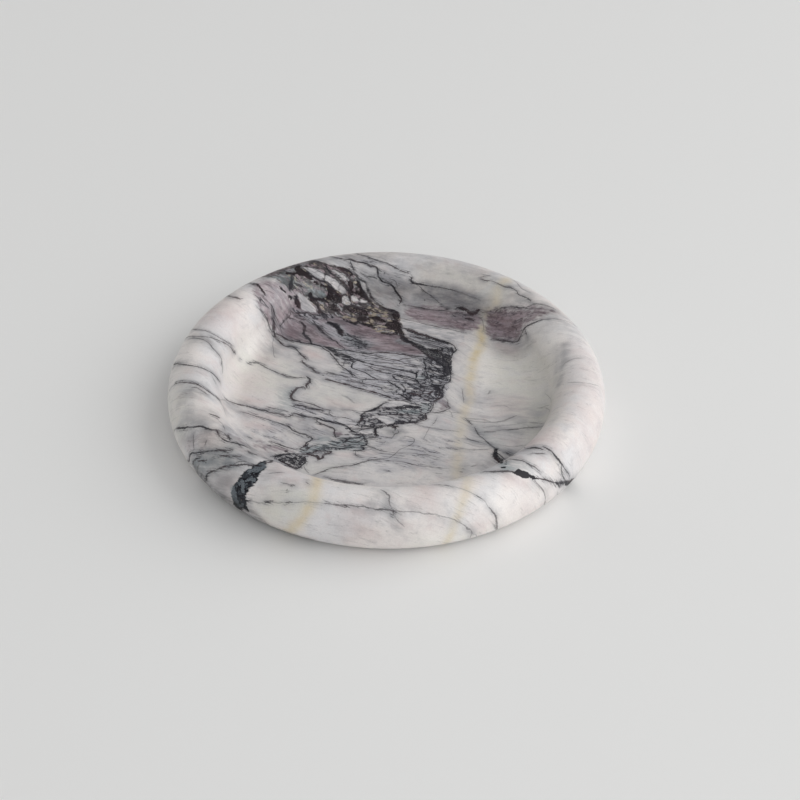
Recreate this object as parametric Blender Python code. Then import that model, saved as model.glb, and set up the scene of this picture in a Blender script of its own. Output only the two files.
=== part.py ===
"""Round stone tray, turned from one block, standing on self-adhesive felt pads. Metres, +Z up.

The origin is on the table, under the middle of the tray. The stone is one turned section: a flat dish
floor, a cove up the wall, a rim whose section is an ellipse, and a flat base that cuts a little off the
ellipse's foot.
"""

import math

import bmesh
import bpy

# Stone
TRAY_DIAMETER = 0.250
STONE_HEIGHT = 0.0342
RIM_WIDTH = 0.0305
FLOOR_THICKNESS = 0.009
COVE_RADIUS = 0.012
FOOT_CUT = 0.0009
FOOT_RADIUS = 0.004

# Felt pads under the base
PAD_COUNT = 4
PAD_DIAMETER = 0.016
PAD_THICKNESS = 0.0015
PAD_EDGE_ROUND = 0.0003
PAD_INSET = 0.030
BOND_THICKNESS = 0.0003

# How finely the round shapes are cut into faces
TRAY_TURN_STEPS = 96
PAD_TURN_STEPS = 32
RIM_QUARTER_STEPS = 9
COVE_STEPS = 8
FOOT_STEPS = 3
PAD_ROUND_STEPS = 2
HALVINGS = 40
SHARP_ANGLE = math.radians(35)
MERGE_DISTANCE = 0.000001

# Finishes: linear colour, roughness
STONE_COLOUR = (0.66, 0.61, 0.61, 1.0)
STONE_ROUGHNESS = 0.45
FELT_COLOUR = (0.42, 0.40, 0.37, 1.0)
FELT_ROUGHNESS = 0.95

# Places that follow from the sizes above
TRAY_RADIUS = TRAY_DIAMETER / 2
RIM_HALF_WIDTH = RIM_WIDTH / 2
RIM_HALF_HEIGHT = (STONE_HEIGHT + FOOT_CUT) / 2
DISH_RADIUS = TRAY_RADIUS - RIM_WIDTH
BASE_Z = PAD_THICKNESS + BOND_THICKNESS
FLOOR_Z = BASE_Z + FLOOR_THICKNESS
RIM_CENTRE_Z = BASE_Z + STONE_HEIGHT - RIM_HALF_HEIGHT
RIM_CENTRE = (TRAY_RADIUS - RIM_HALF_WIDTH, RIM_CENTRE_Z)
RIM_HALF_SIZES = (RIM_HALF_WIDTH, RIM_HALF_HEIGHT)


def clear_scene():
    for thing in list(bpy.data.objects):
        bpy.data.objects.remove(thing, do_unlink=True)


def finish(name, colour, roughness):
    """A plain, non-metallic material."""
    material = bpy.data.materials.new(name)
    material.use_nodes = True
    shader = material.node_tree.nodes["Principled BSDF"]
    shader.inputs["Base Color"].default_value = colour
    shader.inputs["Roughness"].default_value = roughness
    shader.inputs["Metallic"].default_value = 0.0
    return material


def on_ellipse(centre, half_sizes, angle):
    """The point (radius, height) of an ellipse at an angle in degrees from its outer side."""
    turn = math.radians(angle)
    return centre[0] + half_sizes[0] * math.cos(turn), centre[1] + half_sizes[1] * math.sin(turn)


def arc(centre, half_sizes, start, stop, steps):
    """Points along an ellipse between two angles, both ends included."""
    return [on_ellipse(centre, half_sizes, start + (stop - start) * i / steps) for i in range(steps + 1)]


def rim_normal(angle):
    """The rim section's outward normal (radius, height), of length 1, at an angle of its ellipse."""
    along = math.cos(math.radians(angle)) / RIM_HALF_WIDTH
    up = math.sin(math.radians(angle)) / RIM_HALF_HEIGHT
    length = math.hypot(along, up)
    return along / length, up / length


def rounding_centre(angle, radius):
    """The middle of a circle touching the rim's ellipse from outside, or inside for a negative radius."""
    touch = on_ellipse(RIM_CENTRE, RIM_HALF_SIZES, angle)
    normal = rim_normal(angle)
    return touch[0] + radius * normal[0], touch[1] + radius * normal[1]


def touching_angle(low, high, radius, plane):
    """The angle of the ellipse where such a circle also stands on a level plane, by halving a range."""
    for _ in range(HALVINGS):
        middle = (low + high) / 2
        if rounding_centre(middle, radius)[1] < plane + abs(radius):
            low = middle
        else:
            high = middle
    return (low + high) / 2


def facing(normal):
    """A direction in the section, in degrees from straight outwards."""
    return math.degrees(math.atan2(normal[1], normal[0]))


def tray_section():
    """The stone's half section, from the middle of the dish floor over the rim to that of the base."""
    cove_angle = touching_angle(180, 90, COVE_RADIUS, FLOOR_Z)
    foot_angle = touching_angle(-90, 0, -FOOT_RADIUS, BASE_Z)
    cove_normal = rim_normal(cove_angle)
    cove_centre = rounding_centre(cove_angle, COVE_RADIUS)
    if FLOOR_Z + COVE_RADIUS < RIM_CENTRE_Z:
        cove_centre = (DISH_RADIUS - COVE_RADIUS, FLOOR_Z + COVE_RADIUS)
    cove_end = facing((-cove_normal[0], -cove_normal[1]))
    foot_start = facing(rim_normal(foot_angle))
    foot_centre = rounding_centre(foot_angle, -FOOT_RADIUS)
    points = [(0, FLOOR_Z)]
    points += arc(cove_centre, (COVE_RADIUS, COVE_RADIUS), -90, cove_end, COVE_STEPS)
    for start, stop in ((cove_angle, 90), (90, 0), (0, foot_angle)):
        points += arc(RIM_CENTRE, RIM_HALF_SIZES, start, stop, RIM_QUARTER_STEPS)[1:]
    points += arc(foot_centre, (FOOT_RADIUS, FOOT_RADIUS), foot_start, -90, FOOT_STEPS)[1:]
    points.append((0, BASE_Z))
    return points


def pad_section():
    """A pad's half section with a rounded lower edge, from the middle of its top to that of its foot."""
    radius = PAD_DIAMETER / 2
    corner = (radius - PAD_EDGE_ROUND, PAD_EDGE_ROUND)
    points = [(0, PAD_THICKNESS), (radius, PAD_THICKNESS)]
    points += arc(corner, (PAD_EDGE_ROUND, PAD_EDGE_ROUND), 0, -90, PAD_ROUND_STEPS)
    points.append((0, 0))
    return points


def turned(name, section, steps, material):
    """An object made by spinning a section round the Z axis."""
    mesh = bpy.data.meshes.new(name)
    form = bmesh.new()
    corners = [form.verts.new((radius, 0, height)) for radius, height in section]
    edges = [form.edges.new(pair) for pair in zip(corners, corners[1:])]
    outline = corners + edges
    axis = (0, 0, 1)
    middle = (0, 0, 0)
    bmesh.ops.spin(form, geom=outline, axis=axis, cent=middle, angle=math.tau, steps=steps, use_merge=True)
    bmesh.ops.remove_doubles(form, verts=form.verts[:], dist=MERGE_DISTANCE)
    bmesh.ops.recalc_face_normals(form, faces=form.faces[:])
    form.to_mesh(mesh)
    form.free()
    mesh.shade_smooth()
    mesh.set_sharp_from_angle(angle=SHARP_ANGLE)
    mesh.materials.append(material)
    thing = bpy.data.objects.new(name, mesh)
    bpy.context.scene.collection.objects.link(thing)
    return thing


def stone_tray():
    """The tray, one piece of stone."""
    stone = finish("stone", STONE_COLOUR, STONE_ROUGHNESS)
    turned("stone_tray", tray_section(), TRAY_TURN_STEPS, stone)


def felt_pads():
    """The pads, evenly spaced on a circle inside the base's edge, with a film of adhesive above each."""
    felt = finish("felt", FELT_COLOUR, FELT_ROUGHNESS)
    circle_radius = TRAY_RADIUS - PAD_INSET
    for i in range(PAD_COUNT):
        turn = math.tau * (i + 0.5) / PAD_COUNT
        pad = turned(f"felt_pad_{i + 1}", pad_section(), PAD_TURN_STEPS, felt)
        pad.location = (circle_radius * math.cos(turn), circle_radius * math.sin(turn), 0)


clear_scene()
stone_tray()
felt_pads()
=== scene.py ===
"""A round stone tray on four felt pads: its veined white marble, the floor, the light and the camera.

The veins are drawn on a flat map of the stone, in millimetres. A point of the map keeps its compass
direction from the tray's middle, x to the right and y away from the camera. Its distance from the middle is
the way over the stone's surface: over the dish floor, up the cove, over the rim and down its outer side.
"""

import math

import bpy
import numpy as np
from mathutils import Matrix, Vector, noise
from mathutils.kdtree import KDTree


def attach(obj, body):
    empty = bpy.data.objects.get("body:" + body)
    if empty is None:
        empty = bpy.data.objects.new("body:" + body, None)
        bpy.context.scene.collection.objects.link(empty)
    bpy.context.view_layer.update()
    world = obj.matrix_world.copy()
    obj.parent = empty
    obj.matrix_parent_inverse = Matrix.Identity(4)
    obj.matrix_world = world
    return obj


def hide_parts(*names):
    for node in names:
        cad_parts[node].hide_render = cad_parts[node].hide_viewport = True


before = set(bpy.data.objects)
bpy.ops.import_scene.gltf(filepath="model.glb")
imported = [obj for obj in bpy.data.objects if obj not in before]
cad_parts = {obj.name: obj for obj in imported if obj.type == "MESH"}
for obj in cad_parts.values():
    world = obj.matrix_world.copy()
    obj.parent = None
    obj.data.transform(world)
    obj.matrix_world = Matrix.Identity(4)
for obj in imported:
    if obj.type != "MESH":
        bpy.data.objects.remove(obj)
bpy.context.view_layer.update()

MM = 0.001

# Section of the stone in millimetres: its base above the table, and all else above the base
BASE_Z = 1.8
RIM_CENTRE = (109.75, 16.65)
RIM_HALF_SIZES = (15.25, 17.55)
FLOOR_HEIGHT = 9.0
COVE_RADIUS = 12.0
FOOT_RADIUS = 4.0
HALVINGS = 40
SECTION_STEP = 0.1
RIM_STEPS = 700

# Size of the mesh's triangles in millimetres, how far apart its rings are as a share of that, and how many
# corners a ring has at least
TOP_SPACING = 1.13
UNDER_SPACING = 1.6
ROW_SHARE = 0.87
LEAST_CORNERS = 6

# Flat layout for baking: how much smaller the underside is laid out, and the gap round each disc
UNDER_SCALE = 0.62
LAYOUT_GAP = 2

# How veins are drawn, in millimetres
TRAIL_STEP = 0.3
WOBBLE = 0.22
WOBBLE_LENGTH = 2.6
WIDTH_SWING = 0.35
WIDTH_LENGTH = 3.5
WIDTH_SCALE = 0.95
WIDTH_LESS = 0.07
THINNEST_HALF = 0.15
TAPER_LENGTH = 3.0
TAPER_SHARE = 0.45
SOLID_REACH = 0.6
FADE_REACH = 1.15
HALO_REACH = 2.5
UNDER_LIMIT = 108.0
WOBBLE_SEEDS = (3.1, 8.7)
WIDTH_SEED = 5.5
SWING_SCALE = 1.6

# Every third point of their lines is enough to tell whether two veins come near each other
POINT_STRIDE = 3

# Least lengths and numbers, which keep a value from being divided by nothing
LEAST_TAPER = 0.01
LEAST_WAY = 0.001
TINY = 1e-9

# Each vein: its width, how dark it is, then the points x, y that it runs through
LEFT_FLOOR_VEINS = (
    (0.8, 0.6, -87.5, 69.2, -84, 68.3, -80, 66.3, -77.5, 65.7, -75, 65.2, -73.2, 63, -71.5, 62, -69, 60.5),
    (0.9, 0.9, -77.7, 76, -76, 73, -74, 70, -72, 68.5, -70.5, 67.7, -69.2, 65.5, -68.2, 61.5, -67.5, 58.5,
     -65.5, 57.2, -64, 54.5, -62.5, 52.5, -60.5, 50.7, -58, 50.7, -55.5, 49.5, -53.5, 47.5, -51.5, 44, -50,
     42, -47.5, 37.5),
    (1.5, 0.9, -69.3, 64.5, -68.4, 62),
    (1.0, 0.9, -50.2, 38, -49.7, 35.5, -48, 33, -46, 31.2, -44, 30, -42.5, 27.5, -39.5, 26),
    (0.4, 0.6, -39.5, 26, -35, 25.2, -30, 24.8, -23, 23),
    (0.9, 0.95, -68, 60.5, -66, 60.5, -63, 59.8, -60.5, 58, -58, 56.5, -55, 56, -52, 55, -49.5, 54.5, -46.5,
     53.8, -42.5, 52.8, -39.5, 51.5, -37.5, 49, -35, 46.5, -32.5, 42.5, -30.5, 39, -29, 35.5, -26.5, 32, -24,
     29.5, -21.7, 26.5, -20, 23.5, -18, 22),
    (1.2, 0.9, -53, 57, -52, 55),
    (2.4, 0.95, -38, 51.5, -33, 49, -31, 45, -30, 43.5, -27, 43.5, -24.5, 42, -22.5, 41),
    (1.0, 0.9, -22.5, 41, -20, 39, -17, 38, -14, 37, -11, 36),
    (0.7, 0.8, -11, 36, -7.5, 34.5, -2, 33, 2, 32, 6.5, 31, 11, 30, 13, 28.5, 16, 27.5),
    (0.7, 0.8, -62, 75, -62, 73.5, -60, 73.2, -57, 73.4, -54, 73.2),
    (1.6, 0.9, -54, 73.2, -51.5, 72, -49.7, 70, -49.9, 67, -50.5, 63.5, -48.5, 61, -46.7, 58.5, -45.7, 55.5,
     -45, 53.8),
    (0.4, 0.6, -62.5, 77.5, -62, 74, -63.5, 71, -64.7, 68.5, -65, 66, -64, 63, -62.5, 60.5),
    (0.8, 0.85, -50.5, 76, -47, 74.5, -44.5, 72.5, -42.5, 71, -41.5, 68, -40, 65.5, -37.5, 63, -34.5, 60.5,
     -33.5, 58.5, -31, 57, -30, 55, -28.5, 53, -26, 50.5, -25.5, 49.2),
    (0.6, 0.7, -40.7, 70, -39.5, 67.5, -38, 66.5, -35.5, 64, -32.5, 62),
    (3.2, 0.95, -36.5, 75.5, -34, 74, -31, 72, -30, 69.5, -28.5, 66, -27.5, 62),
    (1.2, 0.8, -19, 48.8, -18, 48.7),
    (0.6, 0.75, -39.5, 51.5, -33.5, 51, -27.5, 49.5, -24.5, 48.5, -20, 48.2, -15, 47.3, -10.5, 45.5),
    (0.7, 0.85, -81.3, 33, -79.3, 33.7, -76, 34, -74, 32.7, -71.7, 31.2, -70, 29.2, -67.5, 27.7, -64.5, 25.7,
     -61.5, 23.7, -58, 22, -55, 21.5, -51, 21.2, -47, 21),
    (1.0, 0.7, -88, 32.2, -87.4, 32.2),
    (1.5, 0.9, -47, 22, -45, 20, -45.2, 17, -46.5, 14.5, -46.7, 11.7),
    (1.3, 0.9, -49.5, 11.8, -51.6, 11.3, -53.2, 8.7, -54.5, 6, -55.3, 4, -54.7, 1.8, -53.7, .3, -51.6, -.3),
    (1.0, 0.6, -27.5, 37, -25.5, 35, -26.5, 32.5),
)

BROWN_FLOOR_VEINS = (
    (0.4, 0.5, -68, 58, -68.5, 53.5, -68, 50, -67.2, 44, -66.5, 40),
    (0.4, 0.5, -8.5, 39, -6, 36.5, -2, 35.5),
    (1.0, 0.7, 35, 1, 35.5, -2.5, 36.5, -4.5, 34.5, -6.5, 31.5, -8.2, 28, -9.2, 25, -9.5),
    (0.4, 0.6, 0, -35.5, -2.5, -39),
    (0.9, 0.6, 45.9, -32.4, 49.4, -33.8, 52.9, -35.3),
    (0.8, 0.5, 43.5, 12.6, 44.1, 5.6, 44.4, .3),
    (1.2, 0.3, 45.9, -13.8, 50.6, -14.4, 55.3, -14.7, 60, -17),
    (1.5, 0.35, -26, 5.5, -22, 2.5, -18.5, -1.5),
)

MIDDLE_VEINS = (
    (1.2, 0.97, -36, 20.2, -31, 18.1, -25.2, 16, -18.5, 13.1, -11, 10.2, -4.3, 7.3, .7, 4.8, 2.8, 3.1),
    (0.75, 0.95, -36, 25.6, -29.3, 24.3, -23.5, 22.7, -19.3, 22.2, -15.2, 20.6, -8.5, 20.6, -.2, 19.8, 4,
     19.3, 10.7, 18, 17.3, 16, 22.3, 12.7),
    (0.68, 0.9, -23.5, 19.3, -15.2, 16.8, -7.7, 14.7, -1, 12.2, 4.8, 10.6, 7.3, 8.5),
    (0.52, 0.75, -27, 20.4, -18, 18.8, -9, 17.2, -2, 15.4),
    (1, 0.97, -.2, 19.8, 3.2, 16.4, 6.5, 13.9, 8.6, 11.8, 9.8, 8.5),
    (0.9, 0.97, 7.3, 18, 9.8, 14.3, 10.7, 11, 9.4, 7.7),
    (1, 0.97, 10.7, 18.5, 15.7, 14.7, 19.8, 11.4, 24, 10.2),
    (0.83, 0.97, -34.3, 49.3, -28.5, 48.1, -23.5, 47.7, -16.8, 46, -11, 45.6, -4.3, 46.4, .7, 46.4, 7.3, 45.2,
     12.3, 44.3, 17.3, 43.5, 21.5, 43.1),
    (0.68, 0.95, -16.8, 46, -8.5, 43.5, -1, 41, 5.7, 39.3, 9, 41, 14, 41.8, 18.2, 43.5),
    (0.83, 0.97, -29.3, 46.4, -22.7, 42.2, -16.8, 38.5, -11.8, 36.4, -8.5, 34.8, -2.7, 33, 4, 31, 10.7, 29.3,
     15.7, 28.5),
    (1.5, 0.97, -20, 40, -16.8, 38.3, -12.5, 36.6),
    (0.6, 0.8, -19.3, 40.2, -11, 38.5, -2.7, 37.2, 3.2, 36.4, 9, 35.2),
    (0.52, 0.75, -17, 44.4, -9, 41.6, -2, 39.6, 4, 38.2),
    (0.6, 0.85, -15, 34.6, -9, 32.6, -3, 30.6, 4, 28.8, 11, 27),
    (0.68, 0.9, 5.7, 39.3, 9.8, 36.8, 15.7, 34.8, 20.7, 33.5),
    (0.98, 0.97, -11, 32.7, -6.8, 29.3, -2.7, 27.7, 3.2, 26, 9, 24.3, 14, 22.7, 19, 19.3),
    (0.83, 0.97, -21, 31, -16, 28.9, -11.8, 26, -8.5, 22.7, -4.3, 20.2),
    (0.83, 0.97, -21.8, 29.3, -20.2, 25.2, -16.8, 21.8),
    (1.4, 0.97, -20.2, 36, -21, 32.7, -20.2, 30.2),
    (1.4, 0.97, 2.7, 25, 4, 22.5, 5.7, 20.6),
    (1.2, 0.97, 11.5, 29.3, 14.8, 27.7, 17.3, 26, 16.5, 21.8),
    (0.9, 0.97, 5.7, 24.3, 11.5, 21.8, 17.3, 19.8, 22.3, 18.5),
    (1, 0.97, 21, 42.7, 21.5, 38.5, 22.3, 34.3, 22.3, 31, 23.2, 26.8, 24, 21),
    (0.9, 0.97, 23.6, 37.7, 27.3, 34.3, 29.8, 31, 33.2, 28.5),
    (0.9, 0.97, 24, 36, 25.7, 30.2, 29.8, 26, 34.8, 23.5),
    (1, 0.97, 22.3, 26.8, 27.3, 24.3, 32.3, 21.8, 36.5, 20.2),
    (1.2, 0.97, 6.5, 7.7, 10.7, 4.3, 14, .2),
    (1, 0.97, 10.7, 8.5, 17.3, 7.7, 24, 8.5, 27.3, 11.8),
    (1, 0.97, 17.3, 7.7, 20.7, 4.3, 25.7, .2),
    (1.2, 0.97, 24, 16, 28.2, 14.3, 30.7, 11.8, 29.8, 5.2),
    (1.2, 0.97, 25.7, 16.8, 32.3, 16),
    (1.1, 0.9, 1, -.5, -2, -2, -4.5, -5, -7, -7, -10.5, -9, -13, -11, -14.5, -13, -13.5, -15.5, -15, -18,
     -16.5, -20),
    (1.1, 0.9, -2.5, -6, 2, -6.5, 5, -5.5, 8, -4.5, 10.5, -3, 13.5, -3.5, 16, -4, 18.5, -5),
    (0.8, 0.8, 2, 1, 9, 1, 14, -1, 18, -2, 22, -4),
    (0.8, 0.85, 26.5, 1, 27, -1.5, 26.2, -5.5, 25, -8.5, 22.5, -10, 22.7, -13, 23.2, -15, 20.5, -17, 17.5,
     -18.5, 13.5, -19, 10, -19.5, 6.5, -20),
    (1.4, 0.9, 32, 15, 32, 12, 32.2, 8.5, 32, 5.5, 29.5, 3, 27, 1),
    (0.9, 0.85, 6.5, -20, 4.5, -20.5, 1, -21.4, -2, -21.5, -6, -22.5, -10, -24, -14, -26, -17, -28.5),
    (0.9, 0.8, -7, -14, -2, -19, 1, -21),
    (0.8, 0.8, -6, -11, 0, -11.6, 5, -12, 9, -11.5, 14, -12, 20, -12.5),
    (0.7, 0.8, 7, -16, 11, -14.5, 16, -15, 20.5, -14.5),
    (0.6, 0.8, 3, 8, 8, 6.5, 14, 6.5, 20, 5, 26, 4),
    (0.45, 0.5, 27, -6, 31, -7.5, 35, -8, 42, -9.5),
    (0.45, 0.5, 33, 6, 35.4, 1, 34, -4, 36.6, -8, 38, -13),
    (0.6, 0.6, 15, -20, 19, -21, 22.5, -22.2, 26, -23.2, 30, -24, 35, -25, 41.5, -26),
    (0.6, 0.5, 24.5, -23, 23.5, -26.5, 22, -31, 21.5, -33.5),
    (0.5, 0.7, 29, -13.5, 28, -17, 26.5, -20),
)

DARK_BAND_VEINS = (
    (1.6, 0.95, 7.5, 63.5, 9.2, 61.5, 11.5, 58.5, 14, 57, 17, 54),
    (3.6, 0.95, 18.5, 52.5, 21.5, 50.5),
    (1.5, 0.9, 8.5, 71, 12.5, 69.5, 15.5, 67.5, 19, 65.5, 23, 63.5, 27.3, 61.2, 32.3, 58.7, 36.5, 56.8, 39.4,
     54.3),
    (0.9, 0.9, 39.4, 54.3, 40.2, 50.2, 38.2, 46.8, 37.3, 41.8),
    (0.6, 0.8, 10.7, 62.7, 15.7, 59, 20.7, 56.8, 25.7, 55.2, 30.7, 52.7, 35.7, 51.8),
    (0.7, 0.8, 14, 64.3, 20.7, 60.2, 27.3, 57.7, 33.2, 55.2, 38.2, 50.2),
    (0.6, 0.75, 12, 60.6, 18, 57.2, 24, 54.2, 29, 52.4, 33, 49.8, 36.5, 46),
    (0.5, 0.7, 16, 62.2, 22, 58.6, 28, 56, 34, 52.6, 38, 47.6),
    (1.2, 0.9, 22, 46.5, 26, 42, 30, 38, 33.5, 33, 33, 28, 34.5, 24),
    (1.0, 0.9, 24, 51, 27.5, 47.5, 31.5, 45.5, 36, 41.5),
    (1.0, 0.9, 32, 46, 33, 41, 35.5, 37, 36.5, 31),
    (0.9, 0.85, 33.5, 33, 36.5, 30, 37, 25, 36.5, 20, 33.4, 17, 32, 11, 31.4, 4),
    (0.8, 0.8, 22, 35, 26, 33.5, 30, 32, 33, 29.5),
    (0.8, 0.8, 22, 30, 26, 29, 30, 26, 33, 25),
    (0.7, 0.8, 23.5, 22, 28, 24.5, 33, 25),
)

LOWER_VEINS = (
    (1.2, 0.95, -3.5, -23.5, -5.5, -24.5, -5.7, -28.5, -5.2, -31.5),
    (0.8, 0.85, -5.2, -31.5, -7, -32.5, -10, -33),
    (0.6, 0.65, 6.5, -25, 7.2, -28, 5, -29, 4, -32, 3, -33.5),
    (0.6, 0.6, 10.5, -31, 13.5, -31.5, 16, -33, 16, -36, 14, -38.5, 11, -41, 8, -43, 6, -46, 3.7, -48.7, 1.2,
     -50.6, -6.9, -51.9),
    (0.7, 0.7, -10.5, -40.2, -7.5, -41.2, -5, -43, -2, -44.5, 2, -45.2),
    (0.6, 0.6, 2, -45.2, 6, -46, 10, -46, 15, -45.7, 20, -46.7, 24, -47, 27.5, -48.2, 31, -49.7),
    (1.2, 0.95, -13, -30, -12, -32.5, -10.5, -36, -11, -39, -13.5, -40.5, -12, -43, -15, -44.5, -18, -44.5),
    (0.8, 0.85, -33.5, -42.2, -30, -42, -25, -42.5, -19.5, -42, -15, -41),
    (1.2, 0.95, -35, -45.7, -30.5, -45.5, -31.5, -47.5, -35, -49.5),
    (2.0, 0.9, -27.4, -38.4, -26, -38),
    (2.0, 0.9, -23.5, -37.3, -22.5, -36.3, -21.2, -34.5),
    (1.7, 0.9, -20.5, -40.3, -19.5, -39.7),
    (1.7, 0.9, -14, -35.5, -13, -34.5),
    (0.8, 0.85, -31, -36, -27.5, -37.5, -22.5, -36.5, -17, -37.5, -13.5, -35),
    (0.7, 0.8, -28, -33.4, -24, -34.5, -19, -33.8, -12.5, -31),
    (0.8, 0.8, -19, -25.5, -14, -25, -9, -24.5, -4, -23.5),
    (0.7, 0.8, -19, -30, -13, -30, -7, -30.5),
    (1.5, 0.95, -52.6, -12.1, -49.5, -13.4, -45.3, -15, -42.6, -15.5, -40, -16.1, -38.4, -16.6, -35.3, -18.2,
     -31, -19.2, -26.8, -20.8, -23.2, -22.4, -20.5, -25.5, -18, -28, -16, -29),
    (2.5, 0.9, -42, -16, -40.5, -16.8, -39, -17.6),
    (0.9, 0.85, -40, -17.1, -39, -19.2, -36.3, -21.3, -32.6, -23.4, -30, -24.7, -29, -27, -29, -30, -28,
     -33.4),
    (0.6, 0.75, -52.6, .8, -50.5, -1.3, -49, -1.3, -45.8, -2.1, -42.6, -3.2, -40, -5, -37.4, -7.1, -34.7,
     -8.2, -32.1, -8.2, -32.6, -9.7, -32.1, -12.4, -29.5, -14.5, -25, -15, -21, -16),
    (1.3, 0.9, -53.7, -5, -51, -5, -48.4, -5, -46.8, -6, -43.7, -7.1, -41, -8.2, -37.9, -8.4, -36.3, -9.7),
    (1.0, 0.85, -46.3, -7.6, -45.3, -9.7, -42.6, -11.3, -40, -12.6),
    (0.5, 0.7, -25.5, -8.5, -20, -8.5, -17, -10.5, -14.5, -11.5),
    (0.9, 0.85, -93.2, -6.6, -90.5, -5.3, -86.8, -4.9, -83.2, -5.5, -80, -6.3, -76.8, -7.6, -73.2, -9.2, -69,
     -10.5, -65.8, -12.1, -61.6, -12.9, -58.4, -14.5, -55.3, -15.3, -52.6, -12.1),
    (0.6, 0.8, -83.7, -11.3, -79.5, -12.9, -75.3, -14.7, -70, -17.1, -66.3, -18.7, -63.7, -20.3),
    (1.1, 0.9, -63.7, -20.3, -60.5, -21.6, -57.4, -22.9, -55.3, -24, -53.2, -27.1, -51, -28.7, -47.9, -30.3,
     -44.7, -31.6, -42.1, -33.4, -41.2, -35, -42.5, -36.9, -44.4, -38, -45, -40.6, -48, -44),
    (0.5, 0.7, -68.4, -7.1, -63.7, -8.2, -60.5, -9.2, -56.3, -10.8),
    (0.7, 0.75, -45.3, -27.1, -42.6, -28.2),
    (0.8, 0.8, -64.4, -37.8, -60, -40, -55.6, -42.2, -51.9, -43.7, -48, -44.2),
    (0.7, 0.75, -65.6, -41.5, -62, -41, -58, -43, -54.4, -45),
    (1.2, 0.7, -55.5, -46, -54.6, -46),
    (0.9, 0.6, -78, -34, -75, -36),
    (0.9, 0.9, -48, -44, -45, -45.5, -42, -42, -38, -40),
    (0.9, 0.9, -50, -48, -46, -48.5, -42, -48, -38.5, -45.5, -35, -45.7),
    (1.8, 0.95, -43, -48.7, -40, -49.4, -37.5, -51.2, -37.5, -53.7),
    (1.4, 0.95, -37.5, -53.7, -35, -51.2, -34.4, -48.7, -31.2, -47.5, -31.2, -45.6),
    (1.6, 0.95, -62.5, -50.6, -58, -49.5, -54.4, -48.7, -50.6, -48),
    (1.4, 0.95, -59.4, -53.7, -55, -57, -49.4, -60.6, -45.6, -57.5, -44.4, -53.7, -45, -50),
    (1.1, 0.9, -56, -50, -52.5, -53, -50, -56.5),
    (1.1, 0.9, -50.5, -50, -49, -54, -46.5, -56),
    (0.8, 0.75, -38.7, -65.6, -35, -63.7, -31.9, -61.2, -27.5, -59.4, -23, -58.2, -18.7, -57.5, -15, -55.6,
     -11.9, -54, -8, -52.5, -3.7, -51.9),
    (0.6, 0.55, -3.7, -51.9, 1.2, -52.5, 6.2, -53, 11.2, -54, 16.2, -55.6, 20, -56.9, 25.3, -57.3, 30, -58.2,
     34.1, -58.5, 36.5, -59.4),
    (0.6, 0.75, -16.9, -45, -16.2, -48.7, -12.5, -50.6),
    (0.9, 0.8, -32.5, -68.1, -27.5, -70, -23, -71.2, -20.6, -71.9, -16.2, -72.8, -11.2, -73.6),
    (0.5, 0.6, -45, -58, -44.4, -61.2, -41.9, -65),
    (1.0, 0.4, 6.2, -71.9, 10.6, -71.9),
)

RIGHT_FLOOR_VEINS = (
    (0.6, 0.7, 45, -13.6, 47, -16.2, 48.8, -19.4),
    (0.7, 0.5, 46, -15.4, 52, -16.6, 60, -17, 66, -15.6, 71, -12.6, 74.6, -10.4),
    (0.7, 0.5, 52, -26.4, 58, -25.4, 64, -24.2, 70, -23, 76, -22.2, 81, -21.4, 86, -22.6, 90, -26),
    (0.5, 0.4, 55, -22, 62, -20.4, 70, -19.4, 79, -17, 86, -18.6, 91, -23),
    (0.6, 0.35, 86, -3.6, 91, -6.6, 94.6, -12, 97, -19),
    (0.5, 0.3, 92, 6, 96, -2, 98.6, -12, 99.4, -22),
    (0.5, 0.45, 40, -40.4, 47, -41.6, 54, -41.8, 60, -40.6),
    (0.5, 0.5, 44, -29.6, 47.6, -32.6, 52, -34.4, 57, -37),
    (0.5, 0.4, 44, -35, 50, -38.4, 56, -39),
    (0.5, 0.35, 62, -2, 67, -1.4, 71, -4),
    (0.7, 0.4, 66, -37.4, 72, -38.6, 77, -37.6, 80, -39),
    (1.0, 0.7, 50.3, -21.5, 51.5, -25.6, 52.6, -29.1, 55.3, -31.8, 57.6, -35.6, 60.6, -39.1, 62.4, -40.6),
    (2.2, 0.95, 62.4, -40.6, 61.5, -45, 61.8, -48.5, 63.5, -52.6),
    (1.0, 0.8, 62.5, -44, 65, -47, 67, -50.5),
    (1.0, 0.8, 67.6, -43.8, 70, -45.6),
    (1.1, 0.6, 63.5, -52.6, 66, -58, 67.5, -63, 69, -70, 70.5, -78, 71.5, -86),
    (0.6, 0.5, 48.2, -43.2, 53, -41.5, 57.6, -42),
    (0.9, 0.55, 60, -17, 63.5, -16.8, 67, -15.6, 70.6, -13.2, 74.7, -10.6),
    (0.8, 0.5, 55.3, -26.5, 59, -26, 62.4, -25.6),
    (0.7, 0.6, 67, -23.8, 73, -23, 78.8, -21.5, 82.4, -21.2, 85.9, -22.6, 89.4, -25),
    (0.6, 0.4, 80.6, -16.5, 84.1, -17, 87, -19),
    (0.8, 0.35, 88.2, -4.4, 91.8, -5.6, 95.9, -9.1),
    (1.2, 0.4, 60, 12, 58.2, 8.5),
    (1.4, 0.5, 41.5, -61.5, 43.5, -61.5),
    (1.2, 0.5, 43, -58.5, 43.6, -58.4),
    (1.3, 0.5, 47.6, -56.5, 50.6, -55.6),
    (1.3, 0.4, 28.2, -62.6, 31.8, -63.2),
)

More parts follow.
